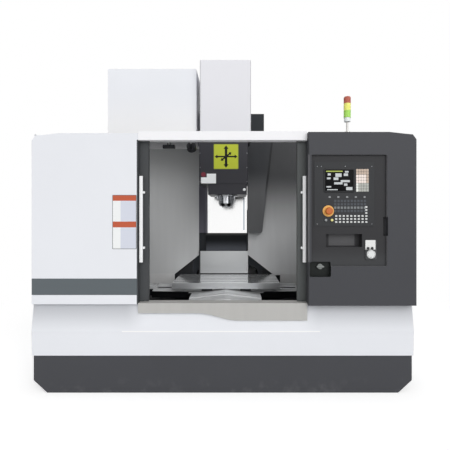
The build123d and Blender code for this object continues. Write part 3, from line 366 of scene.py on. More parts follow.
# Table: one cast iron plate, ground on top with five T slots, on carriages under it.
# The grinding wheel leaves long fine lines, so that it mirrors the wall behind it.
table_top, table_low = 0.7535, 0.6875
slots_half, slots_y, slots_low = 0.5995, (-0.13, 0.29), 0.71
table_iron = Finish("table_iron", metal=0.8)
grind = table_iron.noise(260.0, 3.0, stretch=(0.03, 1.0, 1.0))
wipe = table_iron.noise(4.0, 3.0, stretch=(0.4, 1.0, 1.0))
table_iron.colour = table_iron.mix(grind * 0.4, srgb(250, 251, 252), srgb(206, 208, 211))
table_iron.rough = wipe * 0.1 + 0.12
table_side = 1 - (table_iron.z > table_top)
table_iron.paint(table_side, srgb(200, 202, 204), rough=0.4)
table_iron.paint(table_side * (table_iron.z < table_low), srgb(70, 72, 76), rough=0.4)
# The insides of the T slots are painted dark, as painted shade.
slot_depth = table_side * table_iron.across(0, slots_half) * (table_iron.z > slots_low)
table_iron.paint(slot_depth * table_iron.inside(y=slots_y), srgb(62, 64, 67), rough=0.4)
table_iron.relief(grind, depth=0.00003, rim=0.0015)
dress(table_iron.done(), "table")


# Telescopic covers: bright folded steel sheets that slide one inside the other and keep chips off
# the ways. The lowest sheet of the column is dark, and a bright apron hangs under it.
def cover_sheet(name, colour, rough, stretch, metal=1.0):
    steel = Finish(name, metal=metal)
    brush = steel.noise(420.0, stretch=stretch)
    film = steel.noise(2.6, 3.0)
    steel.colour = steel.mix(brush * 0.4, colour, shade(colour, 0.86))
    steel.rough = film * 0.12 + (rough - 0.05)
    # The corners are painted lighter, as a painted highlight.
    steel.paint(steel.edges(0.0015) * 0.4, srgb(240, 242, 244))
    steel.relief(brush, depth=0.00002, rim=0.001)
    return steel


y_cover_steel = cover_sheet("y_cover_steel", srgb(230, 231, 232), 0.42, (1.0, 0.04, 1.0), metal=0.55)
dress(y_cover_steel.done(), "front_way_cover_1", "front_way_cover_2", "front_way_cover_3",
      "saddle_way_covers", "rear_way_cover_1", "rear_way_cover_2")

z_cover_left, z_cover_low = -0.253, 1.278
hose_shine_x, hose_shine_z = (0.207, 0.219), (1.316, 1.727)
z_cover_steel = cover_sheet("z_cover_steel", srgb(255, 255, 255), 0.12, (1.0, 1.0, 0.04))
# The covers' left edge is painted the same lighter grey as the column strip, as painted light.
z_cover_steel.paint(z_cover_steel.x < z_cover_left, painted_light_grey, rough=0.5, metal=0.0)
z_cover_steel.paint(z_cover_steel.z < z_cover_low, srgb(14, 17, 21), rough=0.5, metal=0.0)
# A narrow bluish stripe is painted on the covers, as a painted reflection.
z_cover_steel.paint(z_cover_steel.inside(x=hose_shine_x, z=hose_shine_z), srgb(128, 146, 164))
dress(z_cover_steel.done(), "column_way_cover_2", "column_way_cover_3")

dark_cover = Finish("dark_cover_steel", specular_ior_level=0.12)
# The lowest sheet is near black, painted lighter towards its foot as a painted sheen.
low_shine = dark_cover.smooth(dark_cover.z, 1.2, 1.04)
dark_cover.colour = dark_cover.mix(low_shine, srgb(12, 16, 21), srgb(92, 95, 102))
dark_cover.rough = dark_cover.noise(5.0, 3.0) * 0.15 + 0.3
dark_cover.relief(dark_cover.noise(420.0, stretch=(1.0, 1.0, 0.04)), depth=0.00002, rim=0.001)
dress(dark_cover.done(), "column_way_cover_1")

apron_left, apron_low = -0.346, 0.764
apron_steel = cover_sheet("apron_steel", srgb(200, 202, 203), 0.34, (0.04, 1.0, 1.0))
# The apron is painted darker towards its foot, dark along its left edge and near black along its lowest
# band, all as painted shade.
apron_steel.paint(apron_steel.smooth(apron_steel.z, 0.96, 0.78) * 0.5, srgb(148, 149, 151))
apron_steel.paint(apron_steel.x < apron_left, srgb(44, 45, 48), rough=0.5, metal=0.0)
apron_steel.paint(apron_steel.z < apron_low, srgb(32, 33, 35), rough=0.5, metal=0.0)
dress(apron_steel.done(), "column_apron")


# Inner guards, chip pan and hose guard: painted sheet steel, with soft streaks from the coolant.
# Each guard is a back sheet that ends in a slant over the table, and a lining sheet welded to it.
def washed_sheet(name, colour, rough):
    sheet = Finish(name, specular_ior_level=0.25)
    streak = sheet.noise(14.0, 4.0, stretch=(1.0, 1.0, 0.08))
    sheet.colour = sheet.mix(streak, shade(colour, 0.9), shade(colour, 1.04))
    sheet.rough = streak * 0.2 + (rough - 0.1)
    # The corners are painted lighter, as a painted highlight.
    sheet.paint(sheet.edges(0.002) * 0.35, shade(colour, 1.1))
    sheet.relief(sheet.noise(520.0), depth=0.00003, rim=0.0015)
    return sheet


def skin(mesh, rings, capped=True):
    """Faces over rings of the same number of points, with a lid at each end or joined in a loop."""
    rows = [[mesh.verts.new(point) for point in ring] for ring in rings]
    pairs = list(zip(rows, rows[1:]))
    if capped:
        mesh.faces.new(rows[0][::-1])
        mesh.faces.new(rows[-1])
    else:
        pairs.append((rows[-1], rows[0]))
    count = len(rows[0])
    for low, high in pairs:
        for item in range(count):
            after = (item + 1) % count
            mesh.faces.new((low[item], low[after], high[after], high[item]))


def slab(mesh, x, y, z):
    """A flat piece of sheet or bar, square with the machine."""
    plan = [(x[0], y[0]), (x[1], y[0]), (x[1], y[1]), (x[0], y[1])]
    skin(mesh, [[(*point, level) for point in plan] for level in z])


def finish_piece(name, mesh, body, slot, *materials):
    """Turns worked mesh into a piece of the machine that rides on a body."""
    bmesh.ops.recalc_face_normals(mesh, faces=mesh.faces)
    data = bpy.data.meshes.new(name)
    mesh.to_mesh(data)
    mesh.free()
    data.shade_smooth()
    data.set_sharp_from_angle(angle=math.radians(35))
    piece = bpy.data.objects.new(name, data)
    bpy.context.scene.collection.objects.link(piece)
    for material in materials:
        data.materials.append(material)
    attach(piece, body)
    return piece


guard_y, guard_x, gauge = 0.427, 1.590, 0.003
guard_top, shoulder_z, guard_front = 2.530, 2.200, -1.030
slant_top, guard_low, lining_low, lip_x = 0.994, 0.733, 0.640, 1.609
guard_paint = washed_sheet("guard_paint", srgb(228, 229, 230), 0.45)
# The right back sheet is painted much darker towards its top, and the other sheets a little darker all
# over and darker again towards their top, as painted shade.
right_back = guard_paint.inside(x=(0, 1.7), y=(0.42, 0.44))
guard_paint.paint(right_back * guard_paint.smooth(guard_paint.z, 1.15, 2.05), srgb(62, 63, 65))
guard_paint.paint((1 - right_back) * 0.5, srgb(198, 199, 199))
guard_paint.paint((1 - right_back) * guard_paint.smooth(guard_paint.z, 1.8, 2.4), srgb(178, 179, 179))
guard_paint = guard_paint.done()
for side, inner, foot, name in ((-1, 0.366, 0.698, "left"), (1, 0.266, 0.600, "right")):
    guard = bmesh.new()
    back_sheet = [(inner, slant_top), (inner, guard_top), (guard_x, guard_top),
                  (guard_x, guard_low), (foot, guard_low)]
    skin(guard, [[(side * x, y, z) for x, z in back_sheet] for y in (guard_y, guard_y + gauge)])
    lining = [(guard_front, lining_low), (guard_y + 0.001, lining_low), (guard_y + 0.001, guard_top),
              (guard_y - 0.120, guard_top), (guard_y - 0.320, shoulder_z), (guard_front, shoulder_z)]
    skin(guard, [[(side * x, y, z) for y, z in lining] for x in (guard_x - gauge, guard_x)])
    lip = sorted((side * (guard_x - 0.001), side * lip_x))
    slab(guard, lip, (guard_front, guard_y - 0.330), (shoulder_z - gauge, shoulder_z))
    piece = finish_piece(f"{name}_guard", guard, "frame", "guard_paint", guard_paint)
    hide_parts(f"{name}_splash_panel")

pan_back = 0.4235
pan_paint = washed_sheet("pan_paint", srgb(222, 222, 222), 0.45)
# The pan is painted near black in front of its back wall, as painted shade.
pan_paint.paint(pan_paint.y < pan_back, srgb(15, 15, 16), rough=0.5)
dress(pan_paint.done(), "chip_pan")

hose_lean, hose_foot = 0.1185, 0.265
hose_paint = washed_sheet("hose_guard_paint", srgb(103, 104, 106), 0.45)
# The hose guard is painted darker towards its top, and darker still along its slanted right edge, as
# painted shade.
hose_paint.paint(hose_paint.smooth(hose_paint.z, 1.75, 2.1), srgb(46, 48, 52))
hose_slant = hose_paint.x - hose_paint.z * hose_lean > hose_foot
hose_paint.paint(hose_slant * hose_paint.smooth(hose_paint.z, 1.65, 2.0), srgb(26, 27, 30))
dress(hose_paint.done(), "hose_guard")


# Head covers: a dark folded cover round the spindle housing under a tall white one over the motor.
# Both are powder coated sheet. The dark one is held by small screws along its edges.
def powder_coat(name, colour, rough, peel=0.00003):
    """Baked paint: a fine orange peel, a faint cloud in its tone, and a painted highlight along the
    corners.
    """
    coat = Finish(name, specular_ior_level=0.15)
    cloud = coat.noise(1.4, 3.0)
    coat.colour = coat.mix(cloud, shade(colour, 0.965), shade(colour, 1.02))
    coat.rough = cloud * 0.1 + (rough - 0.05)
    # The corners are painted lighter, as a painted highlight.
    coat.paint(coat.edges(0.002) * 0.3, shade(colour, 1.12, 0.01))
    coat.relief(coat.noise(380.0, 1.0), depth=peel, rim=0.003)
    return coat


def rounded(x, z, y, radius, steps=5):
    """A rectangle with round corners that faces the front, at one depth."""
    points = []
    centres = ((x[1], z[1], 0), (x[0], z[1], 90), (x[0], z[0], 180), (x[1], z[0], 270))
    for corner_x, corner_z, start in centres:
        centre_x = corner_x - math.copysign(radius, corner_x - (x[0] + x[1]) / 2)
        centre_z = corner_z - math.copysign(radius, corner_z - (z[0] + z[1]) / 2)
        for step in range(steps + 1):
            angle = math.radians(start + 90 * step / steps)
            points.append((centre_x + radius * math.cos(angle), y, centre_z + radius * math.sin(angle)))
    return points


def plate(mesh, x, z, back, thick, radius, rim):
    """A flat plate on something that faces the front, with round corners and a soft rim."""
    front = back - thick
    small = (x[0] + rim, x[1] - rim), (z[0] + rim, z[1] - rim)
    skin(mesh, [rounded(x, z, back, radius), rounded(x, z, front + rim, radius),
                rounded(*small, front, max(radius - rim, rim))])


def lathe(mesh, start, direction, profile, sides=24):
    """A turned shape: pairs of a distance along its line and a radius."""
    along = Vector(direction).normalized()
    across = along.orthogonal().normalized()
    other = along.cross(across)
    rings = []
    for distance, radius in profile:
        centre = Vector(start) + along * distance
        angles = [2 * math.pi * side / sides for side in range(sides)]
        rings.append([centre + (across * math.cos(angle) + other * math.sin(angle)) * radius
                      for angle in angles])
    skin(mesh, rings)


def folded(mesh, x, y, z, radius, steps=5):
    """An upright sheet bent round a front and two sides, open behind, above and below."""
    outline = []
    for inset in (0, gauge):
        bend = radius - inset
        half = [(x[0] + inset, y[1])]
        for centre_x, start in ((x[0] + radius, 180), (x[1] - radius, 270)):
            for step in range(steps + 1):
                angle = math.radians(start + 90 * step / steps)
                half.append((centre_x + bend * math.cos(angle), y[0] + radius + bend * math.sin(angle)))
        half.append((x[1] - inset, y[1]))
        outline += half[::-1] if inset else half
    skin(mesh, [[(*point, level) for point in outline] for level in z])


def pierced(mesh, x, y, z, centre, radius, sides=48):
    """A level sheet with one round hole, and a ray from the hole to each corner."""
    angles = [2 * math.pi * side / sides for side in range(sides)]
    angles += [math.atan2(end_y - centre[1], end_x - centre[0]) % (2 * math.pi)
               for end_x in x for end_y in y]
    never, level_ray = 9.0, 1e-6
    rim, hole = [], []
    for angle in sorted(angles):
        right, back = math.cos(angle), math.sin(angle)
        reach = min((x[right > 0] - centre[0]) / right if abs(right) > level_ray else never,
                    (y[back > 0] - centre[1]) / back if abs(back) > level_ray else never)
        rim.append((centre[0] + reach * right, centre[1] + reach * back))
        hole.append((centre[0] + radius * right, centre[1] + radius * back))
    rings = ((rim, z[0]), (rim, z[1]), (hole, z[1]), (hole, z[0]))
    skin(mesh, [[(*point, level) for point in ring] for ring, level in rings], capped=False)


def socket_screws(name, body, places, direction, radius):
    """Button head screws with a socket in their crown, as one piece."""
    mesh = bmesh.new()
    profile = [(0, radius), (radius * 0.25, radius), (radius * 0.55, radius * 0.72),
               (radius * 0.6, radius * 0.45), (radius * 0.25, radius * 0.42)]
    for place in places:
        lathe(mesh, place, direction, profile, sides=18)
    finish_piece(name, mesh, body, "spindle_steel", screw_steel)


body_x, body_y, body_z, fold = (-0.278, 0.238), (-0.420, 0.100), (1.836, 2.330), 0.014
throat_x, throat_low, lid_right = (-0.184, 0.227), 1.725, 0.269
spindle_y, spindle_hole = -0.220, 0.138
throat_floor = (throat_low + 0.0005, throat_low + gauge)
head_grey = srgb(56, 56, 61)
head_cover = bmesh.new()
folded(head_cover, body_x, body_y, body_z, fold)
folded(head_cover, throat_x, body_y, (throat_low, body_z[0] + gauge), fold)
for x in ((body_x[0] + gauge, throat_x[0] + gauge), (throat_x[1] - gauge, body_x[1] - gauge)):
    slab(head_cover, x, (body_y[0] + 0.012, body_y[1]), (body_z[0], body_z[0] + gauge))
pierced(head_cover, (throat_x[0] + gauge, throat_x[1] - gauge), (body_y[0] + gauge, body_y[1]),
        throat_floor, (0, spindle_y), spindle_hole)
for x, y in (((body_x[0], -motor_half), body_y), ((motor_half, lid_right), body_y),
             ((-motor_half, motor_half), (body_y[0], spindle_y - motor_half)),
             ((-motor_half, motor_half), (spindle_y + motor_half, body_y[1]))):
    slab(head_cover, x, y, (body_z[1], body_z[1] + gauge))
head_dark = powder_coat("head_charcoal", head_grey, 0.4).done()
piece = finish_piece("head_cover", head_cover, "head", "charcoal_paint", head_dark)
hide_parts("head_body_cover")
dress(powder_coat("head_white", srgb(238, 238, 243), 0.4).done(), "head_top_cover")

screw_steel = turned_steel("screw_steel", srgb(120, 122, 126), 0.34)
body_front, forward, down = body_y[0], (0, -1, 0), (0, 0, -1)
screw_places = [(x, body_front, z) for z in (1.86, 2.01, 2.16, 2.305) for x in (-0.268, 0.228)]
socket_screws("head_cover_screws", "head", screw_places, forward, 0.0055)


# Plates on the head: a yellow-green one with crossed arrows for the directions of travel, and a
# small white one with a dark red spot. Both are thin printed metal, glued on. A white plastic cap
# low on the cover closes its coolant port.
def printed_rim(coat, x, z, wide, colour):
    """A coloured border round a plate that faces the front."""
    field = coat.inside(x=(x[0] + wide, x[1] - wide), z=(z[0] + wide, z[1] - wide))
    coat.paint(1 - field, colour)


axis_x, axis_z, axis_thick = (-0.124, 0.138), (1.992, 2.257), 0.0015
axis_plate = bmesh.new()
plate(axis_plate, axis_x, axis_z, body_front, axis_thick, radius=0.012, rim=0.0005)
yellow_green = powder_coat("axis_plate_print", srgb(190, 199, 62), 0.35)
printed_rim(yellow_green, axis_x, axis_z, 0.006, srgb(150, 158, 66))
finish_piece("axis_plate", axis_plate, "head", "white_paint", yellow_green.done())

middle_x, middle_z, ink_thick = sum(axis_x) / 2, sum(axis_z) / 2, 0.0006
arrows = bmesh.new()
for turn, reach, shaft, wide, lift in ((0, 0.120, 0.008, 0.021, 0.0), (90, 0.118, 0.013, 0.026, 0.0001),
                                       (38, 0.072, 0.008, 0.019, 0.0002)):
    tip_start = reach - wide * 1.4
    outline = [(-reach, 0), (-tip_start, wide), (-tip_start, shaft),
               (tip_start, shaft), (tip_start, wide), (reach, 0)]
    outline += [(x, -z) for x, z in reversed(outline[1:-1])]
    right, up = math.cos(math.radians(turn)), math.sin(math.radians(turn))
    points = [(middle_x + x * right - z * up, middle_z + x * up + z * right) for x, z in outline]
    skin(arrows, [[(x, body_front - axis_thick - y, z) for x, z in points]
                  for y in (0.0, ink_thick + lift)])
ink = powder_coat("black_ink", srgb(26, 27, 25), 0.5).done()
finish_piece("axis_arrows", arrows, "head", "knob_black", ink)

data_plate = bmesh.new()
plate(data_plate, (-0.257, -0.099), (1.842, 1.972), body_front, 0.0012, radius=0.004, rim=0.0004)
notch_x, notch_z, white_high = -0.196, 1.906, 1.944
white_plate = powder_coat("white_plate_print", srgb(244, 247, 248), 0.35)
white_plate.paint((white_plate.x < notch_x) * (white_plate.z > notch_z), head_grey)
white_plate.paint(white_plate.z > white_high, head_grey)
white_plate.paint(white_plate.disc(-0.231, 1.936, 0.025), srgb(122, 50, 62))
white_plate = white_plate.done()
finish_piece("head_data_plate", data_plate, "head", "white_paint", white_plate)

port_cap = bmesh.new()
cap_profile = [(0, 0.015), (0.004, 0.015), (0.006, 0.012), (0.0065, 0.003)]
lathe(port_cap, (0.199, body_front, 1.777), forward, cap_profile)
finish_piece("head_port_cap", port_cap, "head", "white_paint", white_plate)


# Spindle: a ground cartridge with a wide flange, the turning shaft with its drive keys, and six
# coolant nozzles round the nose. The flange is held by a ring of socket screws.
dress(turned_steel("nose_steel", srgb(206, 208, 212), 0.16), "spindle_cartridge")
dress(turned_steel("shaft_steel", srgb(160, 163, 168), 0.2), "spindle_shaft")
flange_low, screw_circle = 1.713, 0.099
screw_places = []
for turn in range(6):
    angle = math.radians(60 * turn)
    screw_places.append((screw_circle * math.cos(angle), spindle_y + screw_circle * math.sin(angle),
                         flange_low))
socket_screws("flange_screws", "head", screw_places, down, 0.0065)


# Tool magazine: a white sheet housing, open below, with a turning disc of tool pots on a hub.
# The disc is grey, and the pots round it are black plastic cups.
magazine_white = powder_coat("magazine_white", srgb(243, 245, 250), 0.42)
# The housing is painted lighter towards its foot, as painted light.
magazine_white.paint(magazine_white.smooth(magazine_white.z, 2.9, 2.3), srgb(254, 254, 255))
dress(magazine_white.done(), "magazine_housing")
disc_x, disc_z, disc_radius = -0.795, 2.7, 0.262
pots = Finish("magazine_disc_grey", srgb(112, 114, 118), 0.45, specular_ior_level=0.4)
pots.paint(1 - pots.disc(disc_x, disc_z, disc_radius), srgb(36, 37, 40), rough=0.5)
pots.relief(pots.noise(300.0), depth=0.00005, rim=0.001)
dress(pots.done(), "magazine_disc")


# Base: a welded coolant tank, painted dark grey, which runs round the bed as a plinth.
# Its front sheet has cut lower corners and comes down almost to the floor.
base_coat = powder_coat("base_paint", srgb(75, 76, 80), 0.45, peel=0.00005)
scuff = base_coat.noise(11.0, 5.0)
low_down = base_coat.smooth(base_coat.z, 0.16, 0.02)
base_coat.paint(low_down * base_coat.smooth(scuff, 0.5, 0.75) * 0.4, srgb(104, 104, 106), rough=0.6)
base_coat = base_coat.done()
dress(base_coat, "base_tray")
base_edge, base_front, base_thick = 1.604, -1.148, 0.002
base_low, base_high, cut_x, cut_z = 0.002, 0.318, 1.489, 0.108
base_sheet = bmesh.new()
base_outline = [(-cut_x, base_low), (cut_x, base_low), (base_edge, cut_z),
                (base_edge, base_high), (-base_edge, base_high), (-base_edge, cut_z)]
skin(base_sheet, [[(x, y, z) for x, z in base_outline] for y in (base_front - base_thick, base_front)])
finish_piece("base_front_sheet", base_sheet, "frame", "charcoal_paint", base_coat)


# White panels: folded sheet with a baked coat, hooked on the frame. The left front carries a grey
# stripe low down and a printed plate, and the lower front leans out to a crease. The grey sill
# between them is a folded sheet with a wave in its lower edge.
white = srgb(238, 240, 245)
stripe_y, stripe_z = (-1.171, -1.12), (0.8346, 0.9737)
edge_x, edge_z = (-0.724, -0.6), (0.7, 2.143)
panel_white = powder_coat("panel_white", white, 0.4)
panel_white.paint(panel_white.inside(y=stripe_y, z=stripe_z), srgb(100, 107, 111), rough=0.42)
panel_white.paint(panel_white.inside(x=edge_x, z=edge_z), srgb(73, 76, 79), rough=0.42)
dress(panel_white.done(), "left_front_panel")

shadow_line_low, crease_x, crease_z = 0.749, (-0.85, 0.82), (0.5225, 0.5315)
skirt_white = powder_coat("skirt_white", white, 0.4)
# Beside the sill the lower front is painted darker towards its top, with a dark line along its top
# edge, as a painted shadow under the upper panels.
beside_sill = skirt_white.smooth(skirt_white.x.maths("ABSOLUTE"), 0.62, 0.84)
skirt_white.paint(beside_sill * skirt_white.smooth(skirt_white.z, 0.48, 0.80), srgb(186, 188, 193))
skirt_white.paint(beside_sill * (skirt_white.z > shadow_line_low), srgb(98, 99, 104))
# The crease is painted white, as a painted highlight.
skirt_white.paint(skirt_white.inside(x=crease_x, z=crease_z), srgb(255, 255, 255))
dress(skirt_white.done(), "lower_front_panel")
dress(powder_coat("beam_white", srgb(251, 251, 254), 0.4).done(), "top_beam")
rear_wall_shade_y = (0.4765, 0.4775)
side_coat = powder_coat("side_white", white, 0.42)
# The inner face of the rear wall is painted near black, as painted shade.
side_coat.paint(side_coat.inside(y=rear_wall_shade_y), srgb(48, 49, 52), rough=0.5)
dress(side_coat.done(), "left_side_panel", "right_side_panel")

sill_edge, sill_front, sill_back, sill_thick = 0.713, -1.172, -1.068, 0.004
sill_low, sill_high, sill_under, sill_top = 0.620, 0.683, 0.755, 0.767
wave_start, wave_end, wave_steps = -0.205, 0.125, 16
wave = []
for step in range(wave_steps + 1):
    part = step / wave_steps
    ease = part * part * (3 - 2 * part)
    wave_x = wave_start + (wave_end - wave_start) * part
    wave.append((wave_x, sill_high + (sill_low - sill_high) * ease))
sill = bmesh.new()
sill_outline = [(-sill_edge, sill_high), *wave, (sill_edge, sill_low),
                (sill_edge, sill_top), (-sill_edge, sill_top)]
skin(sill, [[(x, y, z) for x, z in sill_outline] for y in (sill_front, sill_front + sill_thick)])
slab(sill, (-sill_edge, sill_edge), (sill_front + 0.0035, sill_back), (sill_under, sill_top))
sill_paint = washed_sheet("sill_paint", srgb(192, 191, 188), 0.42).done()
piece = finish_piece("sill_sheet", sill, "frame", "guard_paint", sill_paint)
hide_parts("door_sill")

label_x, label_z, panel_face = (-0.929, -0.726), (1.222, 1.678), -1.170
column_field, band_high = (-0.925, -0.86), 0.049
label = bmesh.new()
plate(label, label_x, label_z, panel_face, 0.0012, radius=0.004, rim=0.0004)
print_coat = powder_coat("label_print", srgb(219, 223, 235), 0.35)
print_coat.paint(print_coat.inside(x=column_field), srgb(246, 248, 248))
for low in (1.405, 1.629):
    print_coat.paint(print_coat.inside(z=(low, low + band_high)), srgb(198, 98, 70))
printed_rim(print_coat, label_x, label_z, 0.004, srgb(96, 98, 100))
finish_piece("left_panel_plate", label, "frame", "white_paint", print_coat.done())


# Doors: folded white pans on the top rail, each with a dark stile at its leading edge, a window in a
# rubber seal and a white bar handle on two posts.
stile_half = (0.6, 0.7255)
door_coat = powder_coat("door_white", white, 0.42)
door_coat.paint(door_coat.across(*stile_half), srgb(75, 77, 79), rough=0.4)
# The right stile is painted a little lighter than the left, as painted light.
door_coat.paint(door_coat.inside(x=stile_half), srgb(88, 91, 91), rough=0.4)
dress(door_coat.done(), "left_door_frame", "right_door_frame")

pane = Finish("window_pane", srgb(196, 206, 206), transmission_weight=0.92, ior=1.49)
pane.rough = pane.noise(3.0, 3.0) * 0.05 + 0.02
dress(pane.done(), "left_door_window", "right_door_window")

handle_x, handle_z, handle_front, handle_half = (0.679, 0.709), (1.107, 1.840), -1.155, 0.010
post_out, post_half, post_levels, door_front = 0.013, 0.010, (1.229, 1.702), -1.115
post_back = handle_front + 2 * handle_half - 0.001
handle_coat = powder_coat("handle_gloss", srgb(250, 251, 252), 0.2, peel=0.00001).done()
for side, name in ((-1, "left"), (1, "right")):
    handle = bmesh.new()
    x = sorted(side * place for place in handle_x)
    section = rounded(x, (-handle_half, handle_half), 0, 0.006, steps=3)
    grip = [(px, handle_front + handle_half + across) for px, _, across in section]
    skin(handle, [[(*point, level) for point in grip] for level in handle_z])
    post_x = sorted(side * place for place in (handle_x[0] - post_out, sum(handle_x) / 2 + post_half))
    for level in post_levels:
        post = rounded(post_x, (level - post_half, level + post_half), 0, 0.004, steps=2)
        skin(handle, [[(px, depth, pz) for px, _, pz in post] for depth in (post_back, door_front)])
    piece = finish_piece(f"{name}_handle", handle, f"{name}_door", "handle_white", handle_coat)
    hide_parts(f"{name}_door_handle")

rubber = Finish("seal_rubber", srgb(30, 31, 33), 0.7)
rubber.relief(rubber.noise(260.0), depth=0.00008, rim=0.001)
rubber = rubber.done()
hole_x, hole_z, hole_radius = (0.800, 1.288), (1.130, 1.960), 0.040
seal_profile = ((0.012, 0), (0.012, -0.002), (0.009, -0.003), (-0.005, -0.003), (-0.008, -0.001),
                (-0.008, 0.002))
for side, body in ((-1, "left_door"), (1, "right_door")):
    seal = bmesh.new()
    rings = []
    for grow, behind in seal_profile:
        x = sorted((side * (hole_x[0] - grow), side * (hole_x[1] + grow)))
        z = (hole_z[0] - grow, hole_z[1] + grow)
        rings.append(rounded(x, z, door_front + behind, hole_radius + grow))
    skin(seal, rings, capped=False)
    finish_piece(f"{body}_window_seal", seal, body, "knob_black", rubber)


# Work lamps: a bar lamp and a round lamp hang from the beam on pins and light the table.
# Their cases are black cast metal. The bar has a smoked glass, the round lamp a frosted one.
dress(powder_coat("lamp_black", srgb(44, 45, 48), 0.4).done(), "left_work_lamp", "right_work_lamp")
bar_lamp_x, bar_lamp_low, glass_half, lamp_y = -0.492, 2.107, 0.047, -0.960
bar_glass = bmesh.new()
glass_plan = rounded((bar_lamp_x - glass_half, bar_lamp_x + glass_half), (-0.014, 0.014), 0, 0.005)
skin(bar_glass, [[(x, lamp_y + across, bar_lamp_low - drop) for x, _, across in glass_plan]
                 for drop in (-0.001, 0.0012)])
smoked = Finish("smoked_glass", srgb(58, 60, 64), 0.2).done()
finish_piece("bar_lamp_glass", bar_glass, "left_lamp", "window_pane", smoked)

round_lamp, lamp_pitch, case_depth = Vector((-0.294, lamp_y + 0.040, 2.127)), math.radians(60), 0.0225
aim = Vector((0, math.sin(lamp_pitch), -math.cos(lamp_pitch)))
glass_profile = [(0, 0.040), (0.0012, 0.040), (0.0025, 0.034), (0.003, 0.020), (0.0032, 0.004)]
round_glass = bmesh.new()
lathe(round_glass, round_lamp + aim * case_depth, aim, glass_profile)
frosted = Finish("frosted_glass", srgb(238, 241, 244), 0.35, emission_color=(1.0, 1.0, 1.0, 1.0),
                 emission_strength=0.12)
frosted.relief(frosted.noise(420.0), depth=0.00006, rim=0.0006)
finish_piece("round_lamp_glass", round_glass, "right_lamp", "window_pane", frosted.done())


# Control housing: a dark grey folded case that stands proud of the panels. The operator panel sits
# in its shallow inset, over a shelf, a grip and a deep pocket with the mode knob.
housing = powder_coat("housing_charcoal", srgb(74, 75, 79), 0.42)
# The inset is painted darker towards its top, as painted shade. The returns round it and the back of
# the grip are painted lighter, as painted light, and the knob's pocket near black, as painted shade.
inset_tone = housing.mix(housing.smooth(housing.z, 1.25, 1.10), srgb(56, 56, 58), srgb(67, 68, 70))
painted_light_tone, return_y = srgb(122, 122, 125), (-1.2195, -1.2005)
housing_parts = {
    "inset": (inset_tone, 0.45, (0.739, 1.365), (-1.2005, -1.1), (1.083, 2.010)),
    "returns round the inset": (painted_light_tone, 0.45, (0.70, 1.3655), return_y, (1.12, 2.0105)),
    "return under the inset": (painted_light_tone, 0.45, (0.90, 1.3655), return_y, (1.08, 1.12)),
    "back of the grip": (srgb(92, 92, 94), 0.45, (0.90, 1.12), (-1.1405, -1.1395), (1.25, 1.35)),
    "knob's pocket": (srgb(34, 37, 36), 0.5, (0.721, 0.901), (-1.2105, -1.1), (0.994, 1.1195)),
}
for tone, rough, x, y, z in housing_parts.values():
    housing.paint(housing.inside(x=x, y=y, z=z), tone, rough)
dress(housing.done(), "control_housing")

panel_front, key_proud, middle_row = -1.205, 0.0006, (1.640, 1.680)
panel = Finish("panel_plastic", srgb(58, 59, 61), 0.45, specular_ior_level=0.15)
raised = panel.y < panel_front - key_proud
panel.paint(raised, srgb(222, 224, 223), rough=0.5)
panel.paint(raised * panel.inside(z=middle_row), srgb(150, 152, 154), rough=0.5)
panel.paint(panel.disc(0.881, 1.542, 0.047), srgb(246, 190, 108), rough=0.4)
panel.relief(panel.noise(620.0), depth=0.00003, rim=0.0008)
dress(panel.done(), "operator_panel")

title_x, title_z = (0.862, 1.0), (1.868, 1.878)
screen_blocks = (((1.02, 1.05), (1.862, 1.876)), ((0.876, 0.902), (1.838, 1.856)),
                 ((0.94, 0.992), (1.826, 1.856)), ((1.01, 1.045), (1.834, 1.856)),
                 ((0.87, 0.90), (1.806, 1.822)), ((0.925, 0.965), (1.80, 1.822)),
                 ((0.985, 1.06), (1.782, 1.80)), ((0.93, 1.0), (1.764, 1.782)),
                 ((1.012, 1.04), (1.752, 1.772)), ((0.866, 0.905), (1.738, 1.75)),
                 ((1.03, 1.082), (1.716, 1.742)), ((0.872, 0.96), (1.716, 1.724)))
screen = Finish("screen_glass", srgb(8, 9, 11), 0.12, specular_ior_level=0.06)
screen.paint(screen.inside(x=title_x, z=title_z), srgb(176, 190, 96), rough=0.2)
for x, z in screen_blocks:
    screen.paint(screen.inside(x=x, z=z), srgb(206, 211, 213), rough=0.2)
screen.relief(screen.noise(500.0), depth=0.00001, rim=0.0008)
dress(screen.done(), "display_screen")


# Key fields: the panel's printed keys are small raised caps under one skin, in plain colours.
# A bezel frames the screen, and socket screws hold the panel.
def key_caps(mesh, x, z, columns, rows, gap, thick, pick):
    """A block of caps that fills a field, with the number of its finish for each cap."""
    wide, tall = (x[1] - x[0]) / columns, (z[1] - z[0]) / rows
    for row in range(rows):
        for column in range(columns):
            left, top = x[0] + column * wide, z[1] - row * tall
            cap_x = (left + gap / 2, left + wide - gap / 2)
            cap_z = (top - tall + gap / 2, top - gap / 2)
            before = set(mesh.faces)
            plate(mesh, cap_x, cap_z, panel_front, thick, radius=0.0025, rim=0.0008)
            for face in mesh.faces:
                if face not in before:
                    face.material_index = pick(column, row)


def key_plastic(name, *colour):
    cap = Finish(name, srgb(*colour), specular_ior_level=0.3)
    cap.rough = cap.noise(40.0) * 0.15 + 0.42
    cap.relief(cap.noise(800.0), depth=0.00002, rim=0.0008)
    return cap.done()


def keypad_finish(column, row):
    """Peach above and at the right, pink in the middle, white and grey below."""
    if row < 2 or (row < 5 and column == 4):
        return 0
    if row < 5:
        return 1
    return 2 if column == 0 else 3


